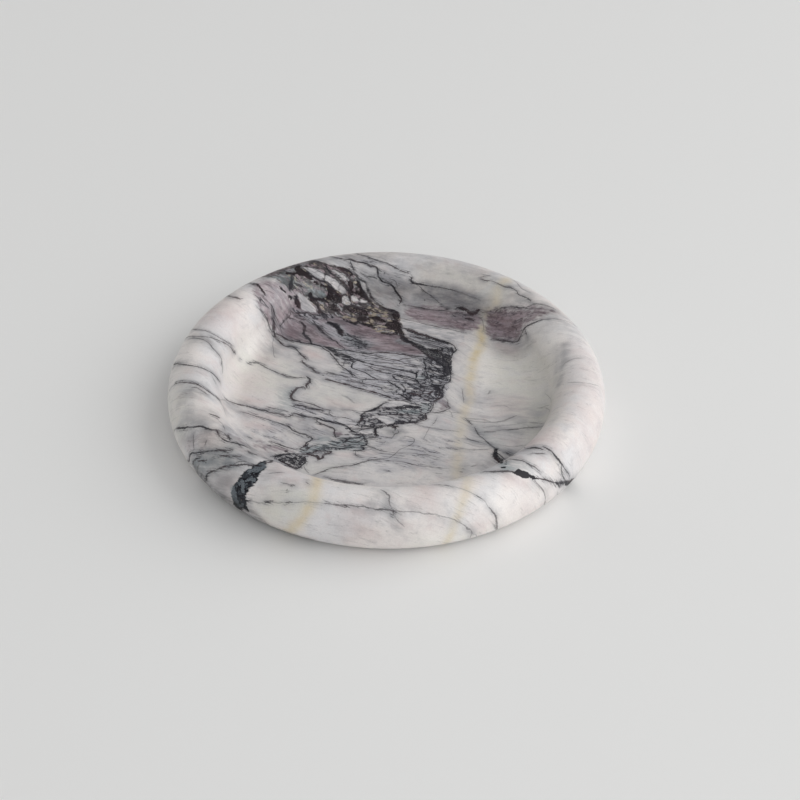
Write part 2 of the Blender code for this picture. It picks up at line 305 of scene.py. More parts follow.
BACK_WALL_VEINS = (
    (0.9, 0.9, -46, 114, -43.5, 112, -41, 108, -37.5, 106, -34, 104.5, -30.5, 102.7, -27.5, 101, -26, 98,
     -25.5, 95, -24, 92, -22.5, 90),
    (2.0, 0.8, -52.2, 115.3, -50.8, 114.8),
    (1.7, 0.8, -46.2, 114, -45.2, 113.5),
    (0.7, 0.8, -59, 109.5, -55, 109, -52, 108, -48, 106.7, -44, 105.5, -40, 105, -37.5, 103.5),
    (1.2, 0.95, -57.5, 106.5, -54, 104, -51, 102, -47, 100.7, -44, 100.7, -40.5, 100, -38, 98.5, -35.5, 96.5,
     -32.5, 94.7, -30, 93.5, -29, 90),
    (0.6, 0.7, -43.7, 105.5, -43.5, 101.5),
    (1.0, 0.9, -28, 87.5, -23, 89, -18.5, 88.5, -14, 88, -10.5, 87, -7, 85.5),
    (1.2, 0.9, -30, 94.5, -26, 95),
    (0.6, 0.8, -22.5, 90.5, -17.5, 90.5, -13, 90.5),
    (1.3, 0.95, -51.5, 91, -50, 88, -47, 88.5, -43, 89.7, -40, 89.5),
    (1.0, 0.9, -46, 87, -44.5, 85, -42, 83, -42.5, 81, -40, 82),
    (0.8, 0.8, -72.5, 90, -71, 88, -69, 86.7),
    (1.0, 0.7, -65.5, 85.5, -63, 84),
    (0.8, 0.8, -92.7, 91, -90.7, 87.7, -87.3, 85.7, -86, 84.3, -83.5, 81, -83, 79),
    (0.4, 0.6, -85.5, 83.2, -80.5, 83.2, -76.5, 83),
    (0.5, 0.6, -85.5, 77, -84.7, 73.5, -80, 72.8, -76.5, 72.5),
    (1.6, 0.9, -34, 80, -33, 80),
    (1.0, 0.85, -27.5, 78, -25, 76.5, -21.5, 75, -19, 73.5),
    (0.7, 0.85, -23, 128, -22, 125.5, -19, 123.5, -15, 121.7, -11, 120, -7, 118.7, -3, 117.5, 1, 115.7, 5,
     113.7, 9, 112, 13, 111.2),
    (1.2, 0.95, -31, 118.7, -26, 118.2, -22, 117, -17.5, 116.5, -13.5, 115.5, -9, 114.2, -8, 112.5, -7.7,
     109.2, -6, 107, -4.5, 105.5, -2, 105.2, .5, 104, 3, 102, 4.5, 99, 6.5, 96.5, 7.5, 94.2, 6.2, 91.7),
    (0.7, 0.8, -27, 118, -26, 115, -24.5, 112, -24.2, 110),
    (0.8, 0.8, -19, 109.5, -15, 108.5, -11, 108, -8, 107),
    (0.8, 0.8, -7.5, 113, -5, 111.5),
    (0.9, 0.8, -3.5, 111.2, -3.7, 110),
    (0.4, 0.7, 0, 107.5, 3.5, 106.5, 4.7, 105, 5.2, 102),
    (1.2, 0.9, 15, 108.5, 14.7, 106, 16.2, 104.4, 20, 103.7, 25, 102.4),
    (0.6, 0.8, 25, 102.4, 30, 101.1, 35, 99.7, 40, 98.1, 44.4, 96),
    (0.6, 0.75, 18.5, 104, 20.5, 101.5, 22.5, 99, 25.5, 96.7, 28.5, 93.5, 31.5, 90.5),
    (1.2, 0.6, 21.8, 93.5, 22.4, 93.3),
    (1.0, 0.6, 32, 88.5, 32.6, 88.4),
    (0.5, 0.7, 8.5, 91.7, 12.5, 90.5, 18.7, 89, 21.9, 88.1, 26.2, 86.9, 31.2, 85.9, 36.2, 85.9),
    (2.5, 0.95, 42, 86.2, 45, 85.3, 48, 83.4, 50, 81.2, 52.5, 80.6, 57, 81.5),
    (0.5, 0.7, 57, 81.5, 58.7, 79.4, 62.5, 78.7, 65, 78.4),
    (1.8, 0.85, 46.2, 78.7, 49.4, 77.5, 51.5, 76),
    (0.6, 0.7, 41.2, 83.1, 46.2, 81.2, 49.4, 80.3),
    (0.8, 0.7, 38, 83, 40.6, 80.6),
    (0.7, 0.7, 7, 81, 11, 79.5, 15, 78, 19, 76.5, 24, 74.5, 29, 73, 32.5, 71.5, 37, 70.5, 45, 67.5),
    (0.5, 0.6, 55.3, 76.9, 56.9, 75.3, 57.2, 71.2, 57, 68),
    (0.7, 0.75, 68, 76.6, 72.5, 77.5, 77.5, 76.2, 81.9, 74.7, 86.2, 72.5, 91.2, 70),
    (0.9, 0.8, 62.5, 61, 66.2, 59, 70, 57.2, 73, 55.6, 76.2, 54, 79.4, 54, 81.9, 55.6, 88, 57.5, 91.9, 57.8,
     95, 57.2, 100, 57),
    (0.7, 0.55, 100, 57, 106, 55.6, 112, 54.5, 118, 53.5),
    (0.8, 0.6, 86, 72.5, 91, 70.5, 97, 71.5, 104, 70, 110, 66.5),
    (1.0, 0.35, 44.4, 96, 50, 93, 55, 90, 60, 87),
    (0.8, 0.7, 87.8, 57, 87.8, 52.5),
    (0.8, 0.75, 61.2, 101.2, 63, 99.4, 66.9, 97.8, 70, 96.9, 73, 94.4, 76.2, 91.6, 80, 90, 83, 88, 85, 85.6,
     86.2, 82.8, 89.4, 80, 92.5, 77.5, 94.4, 74.4),
    (0.6, 0.7, 61.2, 101.5, 64.4, 102.5, 68, 102.8),
    (0.7, 0.5, 83, 98.7, 85, 95.6, 86.2, 92.5, 87.5, 89.4, 90.6, 86.2, 94.4, 83.4),
    (1.0, 0.35, 113, 10, 117.7, 12, 125.4, 13.5),
    (0.7, 0.35, 115, -10, 122, -12.5, 130, -11, 136, -8),
)

BROWN_WALL_VEINS = (
    (1.5, 0.9, -53, 73.6, -50.6, 71, -50.4, 66, -49.6, 61, -47, 58),
    (0.9, 0.85, -46, 76, -42.5, 71.5, -39, 66, -35, 61),
    (0.7, 0.8, -43, 72, -40, 66.6, -36.5, 61.5, -33, 58),
    (1.1, 0.9, -76.5, 75, -73, 71.5, -70.5, 66, -69, 61.5, -66, 58),
    (0.7, 0.8, -84, 69, -77, 66.5, -73.5, 63.5, -70, 61),
    (0.6, 0.8, -62.6, 79, -60.6, 75, -63.5, 70, -65, 66),
    (0.6, 0.8, -62, 77.5, -56, 77, -52, 79, -46, 79.5, -40, 79, -36, 76),
    (0.6, 0.8, -58, 75, -52, 74.6, -47, 76.4),
    (1.0, 0.85, -66, 86, -62, 85, -60, 82),
    (0.8, 0.8, -88, 85.6, -84.6, 83, -82, 79.4),
    (0.7, 0.75, -86, 77, -82, 74, -78, 73),
    (1.5, 0.8, -35.5, 111.7, -33, 110, -30, 108.7, -27.5, 107, -26, 104.5, -25.5, 101.5),
    (1.6, 0.85, -35, 111.5, -32, 111.2, -28.5, 110.7, -25.5, 110, -22.5, 108.5, -20.5, 105.5, -18.5, 101.5,
     -16, 98, -13.5, 94.5, -11.5, 92, -9, 90.5),
    (1.0, 0.8, -30, 109, -27, 107, -25.7, 104, -25, 100, -24.5, 95, -23.5, 91),
    (1.5, 0.85, -23.5, 108, -20, 106, -16, 104.5, -14.5, 102, -13, 98.5, -11, 95, -8, 92, -4, 89.5, 0, 88, 4,
     87, 5.5, 85.5, 6.2, 83.5, 6, 80.5),
    (2.4, 0.9, -65.5, 101, -65, 98, -65.8, 94, -66, 89.5),
    (2.0, 0.9, -64, 94.8, -61, 94.2, -58, 94),
    (2.0, 0.85, -61, 88, -59.5, 85, -57, 83, -55, 80.5),
    (1.5, 0.7, -106.7, 78.3, -104, 74.3, -100.7, 72.3, -98.7, 71.3, -96.7, 71.7),
    (1.8, 0.8, -96.9, -70.6, -96.2, -73.7, -95, -76.2),
    (1.8, 0.6, -84, -85.5, -82.5, -88, -79.5, -89, -78, -89.8),
    (0.9, 0.7, 88.5, -83.8, 91, -83.5, 93.5, -83, 95.5, -83.3),
)

LEFT_RIM_VEINS = (
    (0.7, 0.65, -128, 44.3, -125.3, 39.7, -122.7, 37.3, -118.7, 35, -114, 33, -109.3, 32, -104.7, 32.7,
     -100.7, 34, -97, 35.1),
    (0.8, 0.75, -134, 39, -130, 35, -126.7, 31.7, -123.3, 29.3, -120, 28.8, -114.7, 29, -110, 29.5, -105.3,
     30.7, -100.7, 32, -94.7, 32.3, -92.7, 33.7),
    (0.8, 0.7, -126.7, 29, -123.3, 27.3, -120, 25.7, -117.3, 24.3, -114.7, 22.3, -112.7, 19.7, -110, 18.7,
     -105.3, 17.3, -104, 13.7, -102, 11.3, -101, 9),
    (1.0, 0.85, -139.3, 11, -136.7, 8.3, -133.3, 5, -131.2, 2.5, -128.1, 0, -125, -1.9, -121.9, -2.8, -118.1,
     -3.4, -114.4, -3.4, -110, -3, -106.2, -2.4, -102.5, -1.2),
    (1.2, 0.45, -128, -86, -123, -84.6, -118, -84),
    (0.8, 0.6, -108, -51.8, -105.4, -50.8, -103.6, -52.6),
    (0.7, 0.5, -104, -56, -101, -60, -99, -66),
    (0.8, 0.6, -99.4, -69.5, -97.6, -72, -96.6, -75.4),
    (0.8, 0.5, -86, -72, -84, -77, -82.6, -82),
    (0.8, 0.5, -112.5, -3.7, -111.2, -5.9, -109.4, -8.1, -106.9, -11.2),
    (0.8, 0.35, -148, -12.5, -140, -13.7, -134, -14.8),
    (0.9, 0.85, -134, -14.8, -130.6, -16.2, -126.9, -18.4, -122.5, -20.3, -118.7, -21.9, -115.6, -23.4,
     -112.5, -25.3, -108.7, -26.2, -105.6, -25.3, -103.5, -23.5),
    (0.8, 0.3, -103.5, -23.5, -99, -15, -96, -10, -93.2, -6.6),
    (0.7, 0.75, -122.5, -24.4, -119.4, -24.7, -116.9, -26.9, -113.7, -29.1, -112.5, -30),
    (0.8, 0.4, -146, -46, -137.5, -48.7, -134.4, -50.6),
    (1.0, 0.9, -134.4, -50.6, -130.6, -52.8, -126.9, -55.3, -122.5, -57.2, -118.7, -59.4, -115, -60.6, -111.2,
     -62.8, -107.5, -65.3, -103.7, -66.9, -102.5, -70, -100.6, -73.7, -97.5, -76.6, -93.7, -78.1, -90, -79.4,
     -86.1, -80.6, -84.4, -81.1),
    (0.8, 0.8, -90, -79.4, -88.7, -81.2, -87.5, -82.3),
    (0.9, 0.6, -118.7, -64.7, -119.4, -69.4, -120, -73.1),
    (0.7, 0.6, -109, -72.8, -110.6, -75.6),
    (0.9, 0.85, -138, -73, -130.6, -75.3, -127.8, -74.4, -125.3, -74.4, -122.5, -74.7, -120, -76.1, -116.7,
     -77.5, -112.8, -78.9, -109.4, -80.3, -106.1, -81.4, -102.8, -82.2, -99.4, -83.3, -96.7, -84.4, -93.6,
     -85),
    (1.1, 0.85, -127.2, -80.6, -125, -79.6, -121.1, -79.7, -118.3, -80.4, -115.8, -81.6),
    (0.9, 0.85, -119.4, -81.7, -116.7, -82.8, -111.9, -84.6),
    (0.5, 0.6, -106.1, -85.6, -103.9, -86.1),
    (1.2, 0.85, -100.6, -86.6, -96.7, -87.8, -93.5, -89.2),
    (1.4, 0.85, -92.5, -89.7, -90, -90.1, -87.2, -91),
    (0.9, 0.85, -120, -94.4, -117.8, -93.8, -115.8, -92.9, -112.8, -92.5, -110, -92.9, -107.2, -93.3, -103.9,
     -93.9, -100.6, -94, -97.2, -94.4, -93.9, -95.1, -90.6, -95.7, -87.2, -96.6, -83.9, -97.3, -80, -98.9,
     -77.2, -99.3, -74.4, -99.3, -72.5, -98.9),
    (1.1, 0.5, -128, -90, -121.7, -89.4, -120, -90, -120.5, -94),
    (0.6, 0.7, -92.5, -95.3, -88, -94.2, -83.5, -95),
    (0.8, 0.7, -73.9, -90.6, -70.6, -91.1),
    (1.6, 0.9, -67.6, -88, -68.2, -90.5, -68.9, -92.2, -69.4, -95, -71.1, -96.7, -72.8, -97.8),
    (1.0, 0.85, -89.5, -116.4, -88.3, -117.2, -86.1, -118.3, -83.3, -119.2),
    (0.5, 0.5, -83.3, -119.2, -80.6, -120.3, -77.2, -121.4, -73.9, -122.1),
    (0.9, 0.8, -73.9, -122.1, -70.6, -122.5, -68.6, -123.1),
    (0.9, 0.7, -59.4, -125, -56.1, -125.3, -54.4, -125.8),
    (0.5, 0.5, -54.4, -125.8, -51.1, -126.1, -47.8, -126.2),
    (0.3, 0.5, -68.6, -123.1, -64, -124.2, -59.4, -125),
)

FRONT_RIM_VEINS = (
    (0.8, 0.7, -35.6, -128.4, -32.8, -129.1, -30, -129.6, -26.1, -130.1, -21.7, -130.7, -17.8, -131.1, -15,
     -131.4, -12.2, -131.6, -8.9, -132.3, -6.1, -133, -4.4, -133.3, 0, -133.1, 2.8, -133.4, 5, -133.4),
    (0.3, 0.4, -47.8, -126.2, -41, -127.5, -35.6, -128.4),
    (0.7, 0.7, -25.6, -130.7, -22.8, -131.6, -20.6, -131.3),
    (0.9, 0.6, -2.2, -120, 0, -121.3, 1.7, -123.8, 3.2, -124.8, 3.2, -128, 3.7, -130.5, 5, -132.8),
    (1.2, 0.9, 6, -133.2, 5.8, -135.8),
    (0.8, 0.5, 6.5, -136.8, 8.5, -138.7, 10, -140, 13, -142),
    (0.6, 0.5, 5, -133.4, 9, -133.8, 12.5, -133.8, 18, -133.6, 22, -133.7, 25, -134.2, 28, -134, 31, -133.8,
     34, -134.2, 38, -134.5, 41.5, -134.9, 43.5, -135.1, 45.5, -136, 48.5, -136.6, 51.5, -138, 53.5, -138.9,
     55.8, -139.8, 57.5, -140.7, 59, -142.1, 60.5, -143.5),
    (0.6, 0.4, 60.5, -143.5, 63.5, -143.9, 67, -146.5, 70, -151),
    (1.6, 0.6, 52.6, -138.9, 55.6, -140),
    (0.8, 0.5, 57.8, -141.2, 60, -145, 62, -149),
    (0.9, 0.7, 30.5, -113.2, 33, -113.7, 36, -114.8, 38.5, -115.3, 41, -115.9),
    (0.5, 0.35, 41, -115.9, 48, -117.5, 54.7, -119.8),
    (0.8, 0.7, 54.7, -119.8, 57, -120.4, 59.5, -121.1),
    (0.5, 0.4, 59.5, -121.1, 62, -122.8, 64, -124.5),
    (1.1, 0.7, 64, -124.5, 66.5, -126, 68.5, -127, 70.5, -128.4, 72.5, -130.5, 74.5, -132.8, 76.5, -134.9, 79,
     -137, 82, -139.3, 86, -144),
    (0.6, 0.6, -60.6, -113.8, -57.8, -114.7, -56.7, -115.2, -53.3, -115.5),
    (0.8, 0.7, -56.1, -116.4, -54.2, -116.4),
    (1.2, 0.5, -58.1, -118.3, -57.5, -118.2),
    (1.4, 0.4, -58.6, -119.9, -57.8, -119.9),
    (1.0, 0.5, -47.2, -114.1, -45.6, -115.8, -44.2, -116.6),
    (0.8, 0.4, -69.4, -106.1, -64, -105.9, -60, -105.9),
)

RIGHT_RIM_VEINS = (
    (1.5, 0.8, 60, -100.2, 62.5, -101, 65, -101.3, 68.5, -101.2, 71, -100.9, 74, -100.5, 78, -100.2),
    (1.0, 0.7, 89.5, -83.3, 93, -83.4, 97, -82.4),
    (0.9, 0.9, 92.5, -99.8, 95.5, -99, 98.5, -98.2, 102, -97.8, 105, -97.2, 108.5, -96),
    (2.2, 0.95, 107.5, -96.2, 110.5, -95.6, 112.5, -94.8, 115, -93.2, 118, -91.8, 121, -90.2),
    (2.0, 0.9, 118, -91.8, 121, -90.2, 124, -88.5, 127, -87, 130, -85.3, 134, -83, 140, -81, 147, -79),
    (1.2, 0.5, 118, -92.5, 124, -91, 130, -90.4, 138, -89),
    (1.5, 0.75, 110.5, -95.6, 113, -95.9, 116, -96),
    (0.8, 0.8, 78, -79, 78.2, -81.5, 78.9, -82.5),
    (0.8, 0.5, 85, -70, 86, -74, 87, -77.3),
    (1.4, 0.9, 87, -77.3, 88.5, -78, 90.5, -77.5, 92.5, -78.2, 95, -78.9, 96.5, -79.5),
    (1.3, 0.9, 97.5, -77.2, 99.5, -78.5, 101.5, -79.5, 103.5, -81.2, 105.5, -82.5, 107.5, -83.5, 109.5, -84.2,
     111.5, -85.3),
    (0.8, 0.8, 111.5, -85.3, 114, -85.7, 116.5, -86, 119, -86.2, 121, -86.8, 122.5, -87.8),
    (1.0, 0.8, 109, -84.5, 109.5, -87, 111, -89, 113, -90, 115.5, -90.7, 118, -91.7),
    (0.9, 0.8, 76.5, -88, 78, -89, 80, -89.5, 82, -90.1, 84, -90.8, 86, -92, 88.5, -93.2, 91, -93.6, 93.5,
     -94.6, 94.5, -95),
    (0.8, 0.6, 91, -101, 94, -102.5, 97, -103.5, 99.5, -104.1, 102, -105.5, 105, -106.8, 107.5, -108.5, 110,
     -110, 113, -110.8, 116, -111, 122, -113),
    (1.0, 0.35, 116, -99.3, 120, -100, 124, -99.8),
)

# The outer side that faces away from the camera, where veins go on over the rim
FAR_SIDE_VEINS = (
    (0.8, 0.8, -23, 128, -28, 134, -33, 141, -41, 147, -46, 156, -55, 161),
    (1.1, 0.85, -31, 118.7, -38, 121, -44, 127, -52, 132, -60, 138, -66, 147, -74, 152),
    (1.2, 0.85, -46, 114, -53, 119, -60, 124, -65, 131, -73, 137, -79, 145),
    (0.9, 0.8, -59, 109.5, -68, 113, -76, 119, -84, 125, -90, 134),
    (1.4, 0.85, -70, 104, -79, 108, -88, 114, -96, 117, -103, 124),
    (0.7, 0.7, -92.7, 91, -101, 94, -110, 101, -117, 104, -126, 111),
    (0.7, 0.7, -106.7, 78.3, -115, 83, -124, 86, -132, 92, -141, 94),
    (0.7, 0.7, -128, 44.3, -134, 50, -141, 57, -147, 60, -156, 65),
    (0.8, 0.7, 12, 134, 22, 136, 30, 140, 41, 146, 47, 156),
    (0.7, 0.6, 52, 126, 55, 128, 63, 137, 72, 148),
    (0.8, 0.7, 76, 111, 80, 113, 92, 121, 99, 131),
    (0.6, 0.6, 83, 98.7, 93, 101, 102, 107, 113, 111, 122, 117),
    (0.6, 0.4, 118, 53.5, 126, 55, 134, 60, 143, 63, 152, 70),
    (0.5, 0.5, 139, 37, 150, 43, 160, 46),
    (0.5, 0.5, 30, 140, 36, 134, 44, 131, 52, 126, 63, 122, 70, 117),
    (0.6, 0.6, -60, 138, -52, 141, -41, 147, -30, 150, -18, 155, -6, 158),
    (0.5, 0.5, 0, 134, 8, 141, 13, 150, 22, 158, 27, 166),
    (0.6, 0.6, -139, 25, -146, 31, -153, 36, -161, 41),
)

DARK_VEINS = (
    LEFT_FLOOR_VEINS + MIDDLE_VEINS + DARK_BAND_VEINS + LOWER_VEINS + RIGHT_FLOOR_VEINS + BACK_WALL_VEINS
    + LEFT_RIM_VEINS + FRONT_RIM_VEINS + RIGHT_RIM_VEINS + FAR_SIDE_VEINS
)
BROWN_VEINS = BROWN_FLOOR_VEINS + BROWN_WALL_VEINS

# Patches of colour. An area: its strength, how softly it ends, then its corners x, y
AREAS = {
    "dish": (
        (1.0, 12.0, -84, -10, -66, 4, -62, 30, -66, 52, -70, 72, -40, 92, 0, 104, 40, 98, 76, 76, 66, 62, 52,
         56, 50, 34, 62, 24, 88, 22, 94, 0, 92, -36, 72, -66, 40, -88, 0, -96, -40, -88, -72, -66, -90, -36),
    ),
    "breccia": (
        (1.0, 2.5, -86, 98, -79, 105, -70, 112, -62, 117, -54, 118, -46, 114, -36, 112.5, -29, 111.5, -24,
         108.5, -19, 103, -14, 96, -8, 91, 0, 88.5, 5, 87.5, 7, 83, 7, 77, 8.5, 72, 10, 66, 11, 61, 7, 61, 4,
         66, -3, 65.5, -9, 69, -11, 72, -18, 74, -24, 77, -28, 80, -38, 81.5, -43, 81, -44, 84, -50, 87, -58,
         90, -64, 89.5, -70, 91, -78, 95),
    ),
    # Partly darker stone and partly painted shade: these patches darken the mauve and dark bands, and lay
    # painted shade on the outer side at the lower left and front, the coves and the back inner wall
    "shade": (
        (0.5, 3.0, 10, 70, 22, 64, 38, 56, 40, 48, 36, 46, 30, 51, 20, 55, 10, 60),
        (0.3, 6.0, -112, -66, -98, -64, -84, -80, -72, -88, -84, -94, -100, -98, -112, -80),
        (0.2, 8.0, -30, -136, 25, -138, 25, -156, -40, -154),
        (0.6, 4.0, -84, -76, -78, -77, -70, -86, -66, -92, -76, -92, -88, -88),
        (0.4, 5.0, -80, -98, -64, -98, -62, -108, -74, -114),
        (1.0, 3.5, -110, -108, -98, -113, -89, -119, -82, -128, -80, -140, -96, -152, -124, -128),
        (0.3, 4.0, 88, -74, 104, -78, 108, -84, 96, -86, 86, -80),
        (0.25, 4.0, 84, -105, 98, -100, 108, -98, 104, -104, 90, -108),
        (0.25, 5.0, -128, -18, -112, -18, -110, -34, -128, -34),
        (0.2, 5.0, -142, 6, -126, 6, -126, -4, -142, -4),
        (0.3, 4.0, -114, -44, -104, -44, -104, -58, -114, -58),
        (0.35, 4.0, -110, -68, -99, -68, -99, -80, -110, -80),
        (0.2, 5.0, -44, 70, -24, 68, -2, 60, -4, 54, -24, 56, -40, 62),
        (0.95, 5.0, -126, -80, -114, -98, -103, -110, -95, -124, -87, -134, -66, -146, -50, -154, -60, -166,
         -100, -150, -130, -120, -146, -90),
        (0.6, 6.0, -28, 115, -18, 115, -2, 112, 8, 110, 13, 100, 11, 91, 4, 89, -6, 90, -12, 94, -16, 101,
         -22, 110),
        (0.5, 7.0, 12, 100, 28, 105, 44, 99, 58, 94, 68, 88, 64, 81, 48, 82, 38, 83, 28, 86, 16, 90),
        (0.35, 7.0, -62, 111, -42, 120, -18, 129, 2, 127, -6, 117, -28, 117, -50, 111),
        (0.28, 8.0, 12, 112, 40, 104, 62, 95, 74, 95, 62, 111, 40, 119, 18, 121),
        (0.5, 7.0, 78, 92, 88, 86, 98, 78, 108, 70, 116, 62, 108, 56, 98, 58, 94, 66, 92, 72, 84, 76, 76, 81),
        (0.12, 4.0, -86, 99, -62, 116, -36, 114, -20, 106, -8, 92, 7, 88, 9, 72, 12, 58, 0, 66, -24, 76, -44,
         80, -64, 89, -80, 94),
        (0.3, 3.0, -56, 58, -44, 53, -42, 62, -46, 72, -54, 73),
        (0.35, 4.0, -20, 50, 0, 47, 18, 44, 16, 54, 6, 62, -6, 60),
        (0.45, 4.0, -72, 64, -66, 62, -60, 57, -64, 53, -70, 57),
        (0.3, 5.0, -60, -18, -44, -20, -34, -28, -40, -38, -56, -32),
        (0.35, 7.0, 60, 58, 74, 52, 90, 54, 104, 54, 104, 46, 88, 44, 66, 44),
        (0.3, 7.0, 82, 86, 96, 78, 106, 68, 96, 62, 90, 72, 80, 78),
        (0.2, 7.0, -80, 58, -66, 56, -60, 46, -62, 38, -76, 38, -82, 48),
        (0.4, 4.0, -74, 60, -66, 56, -60, 50, -66, 46, -74, 50),
        (0.4, 4.0, -38, -20, -26, -22, -22, -30, -30, -34, -38, -30),
        (0.45, 4.0, -2, -24, 8, -22, 12, -28, 6, -34, -2, -32),
        (0.4, 5.0, 60, -40, 70, -42, 74, -52, 66, -60, 58, -52),
        (0.2, 8.0, 48, -16, 70, -10, 86, -16, 82, -30, 64, -34, 52, -30),
        (0.16, 10.0, -10, -26, 40, -28, 56, -44, 46, -64, 8, -60, -10, -44),
        (0.25, 7.0, -128, 30, -118, 34, -104, 34, -100, 28, -112, 16, -126, 20),
        (0.2, 7.0, -134, 4, -118, 2, -104, 0, -104, -10, -120, -14, -132, -8),
        (0.5, 6.0, -112, -64, -104, -66, -98, -76, -96, -84, -108, -80, -114, -74),
        (0.4, 6.0, -96, -76, -84, -82, -74, -92, -80, -98, -92, -92),
        (0.35, 7.0, -122, -94, -100, -98, -86, -102, -94, -108, -104, -116, -116, -112),
        (0.22, 7.0, -74, -104, -54, -108, -50, -118, -64, -120, -76, -114),
        (0.15, 10.0, 4, -122, 50, -124, 50, -140, 4, -140),
        (0.5, 5.0, 94, -76, 106, -80, 106, -86, 96, -84),
        (0.4, 4.0, 124, -84, 138, -80, 138, -90, 124, -92),
    ),
    # Painted light: these patches lay a paler tone where light falls, on the inner walls, the right of the
    # dish and the outer side at the left, right and front
    "light": (
        (0.8, 8.0, 88, 50, 100, 44, 118, 40, 118, 24, 100, 20, 90, 30),
        (0.8, 6.0, 20, -148, 60, -142, 90, -134, 100, -138, 40, -168, 16, -160),
        (0.9, 12.0, 90, 58, 100, 52, 114, 38, 118, 10, 112, -10, 100, -10, 92, 0, 88, 30),
        (0.7, 9.0, 48, 58, 60, 56, 66, 40, 62, 16, 54, 10, 50, 30),
        (0.4, 12.0, 104, 50, 130, 44, 134, 10, 122, 0, 112, -10, 112, 10),
        (0.8, 12.0, -136, 70, -122, 82, -112, 84, -120, 50, -126, 36, -128, 10, -132, -10, -134, -40, -136,
         -60, -150, -60, -160, 0, -156, 50),
        (0.7, 12.0, -92, 56, -78, 56, -72, 40, -72, 16, -84, 4, -96, 14, -100, 40),
        (0.6, 6.0, -66, 6, -58, 8, -56, -2, -62, -8, -68, -4),
        (0.9, 14.0, 70, -112, 100, -100, 128, -100, 130, -130, 70, -160, 50, -140),
        (0.5, 12.0, 118, 48, 146, 40, 148, 0, 144, -60, 132, -84, 116, -60, 122, 0),
        (0.35, 10.0, -30, -112, 40, -110, 44, -128, -20, -132),
        (0.4, 8.0, -148, 10, -146, 30, -134, 62, -116, 72, -112, 60, -126, 30, -134, 8),
    ),
    "bundle": (
        (1.0, 3.0, -34, 50, -28, 49, -14, 48, 2, 47, 14, 45.5, 24, 46, 31, 42, 36, 30, 36, 14, 31, 2, 26, -1,
         12, 1, 2, 2, -8, 8.6, -22, 15.4, -34, 21, -40, 24, -30, 25, -24, 29, -22, 34, -24, 40, -28, 44, -32,
         47),
        (0.6, 3.0, -55, 0, -46, -3, -38, -8, -26, -13, -17, -17, -14, -24, -26, -24, -40, -19, -52, -13, -56,
         -6),
        (0.8, 4.0, 8, 72, 20, 67, 32, 61, 39, 54, 39, 44, 33, 48, 26, 52, 18, 55, 12, 61),
        (0.5, 6.0, -30, 66, -20, 66, -6, 60, -2, 52, -16, 52, -28, 56),
        (0.3, 5.0, -90, 88, -80, 92, -66, 92, -62, 88, -68, 76, -72, 66, -78, 70, -84, 80),
        (1.0, 4.0, -50, 76, -42, 72, -34, 62, -26, 52, -20, 48, -14, 50, -20, 60, -26, 70, -34, 76),
        (0.5, 5.0, -62, -20, -46, -20, -34, -24, -30, -32, -40, -38, -52, -34, -62, -28),
        (0.43, 8.0, -8, -26, 26, -27, 46, -30, 44, -44, 34, -60, 0, -66, -14, -52),
        (0.36, 5.0, -80, -18, -66, -18, -52, -24, -44, -34, -56, -42, -72, -40, -80, -30),
        (0.35, 6.0, -42, 118, -20, 124, 4, 118, 14, 108, 4, 96, -6, 100, -20, 108, -32, 112),
    ),
    "mauve": (
        (0.7, 2.5, 27, 3, 33, 4, 37, -1, 35, -8, 29, -7, 31, -2),
        (0.75, 4.0, -92, 86, -90, 76, -86, 69, -78, 65.4, -71, 61.6, -66, 60, -60, 66, -56, 76, -50, 84, -56,
         93, -66, 95, -76, 94, -86, 92),
        (0.95, 3.0, -70, 68, -66, 60, -60, 57.5, -52, 54.5, -46, 53.5, -39.5, 51, -30, 50, -20, 47.5, -10, 46,
         2, 46.4, 9, 45.2, 15, 44, 22, 43, 21, 48, 18, 54, 14, 59, 10, 63, 6, 66, -4, 68, -8, 70, -12, 74,
         -18, 77, -26, 82, -34, 85, -42, 86, -52, 86, -60, 86, -66, 80),
        (0.85, 5.0, 8, 84, 15, 79, 25, 75.5, 35, 71.5, 45, 68.5, 54, 69, 57, 76, 56, 82, 48, 83, 40, 85, 33,
         89, 22, 90, 12, 91),
        (0.8, 8.0, 82, 74, 94, 71, 105, 68, 110, 64, 105, 59, 92, 57.5, 82, 56),
        (0.95, 5.0, 62, 79, 70, 78.5, 75, 77, 82, 74, 88, 72, 92, 66, 90, 60, 85, 57, 77, 53.5, 73, 54.5, 68,
         57.5, 62, 61, 59, 65, 59, 72, 60, 77),
        (0.5, 6.0, -78, -34, -66, -36, -56, -40, -56, -50, -66, -49, -75, -44),
        (0.5, 3.0, -58, -20, -54, -21, -53, -25, -57, -25),
        (0.9, 1.6, -30, -28, -25, -28.5, -24, -31, -27, -33, -30, -31),
        (0.6, 2.5, -66, -41, -60, -41, -54, -44, -50, -45, -52, -48, -58, -48, -64, -47, -67, -44),
        (0.45, 2.0, -50, -16, -43, -17, -42, -20.5, -50, -19.5),
        (0.45, 2.0, -52, -3, -46, -5.4, -40, -6.6, -37, -8.4, -44, -8.4, -50, -6.4),
        (0.35, 5.0, 48, -36, 56, -36, 60, -41, 50, -42),
        (0.35, 6.0, -131, -66, -118, -63, -110, -66, -112, -77, -120, -75, -129, -73),
        (0.3, 5.0, -112, -67, -103, -70, -104, -77, -111, -78),
        (0.3, 5.0, -130, -22, -120, -25, -112, -30, -112, -34, -124, -34, -132, -30),
        (0.4, 6.0, -97, -56, -90, -64, -82, -76, -80, -86, -90, -84, -98, -74),
    ),
    "rose": (
        (0.3, 8.0, 79, 73, 92, 70, 104, 66, 104, 59, 90, 59, 79, 61),
        (0.8, 4.0, -80, 78, -66, 80, -60, 74, -66, 66, -76, 68),
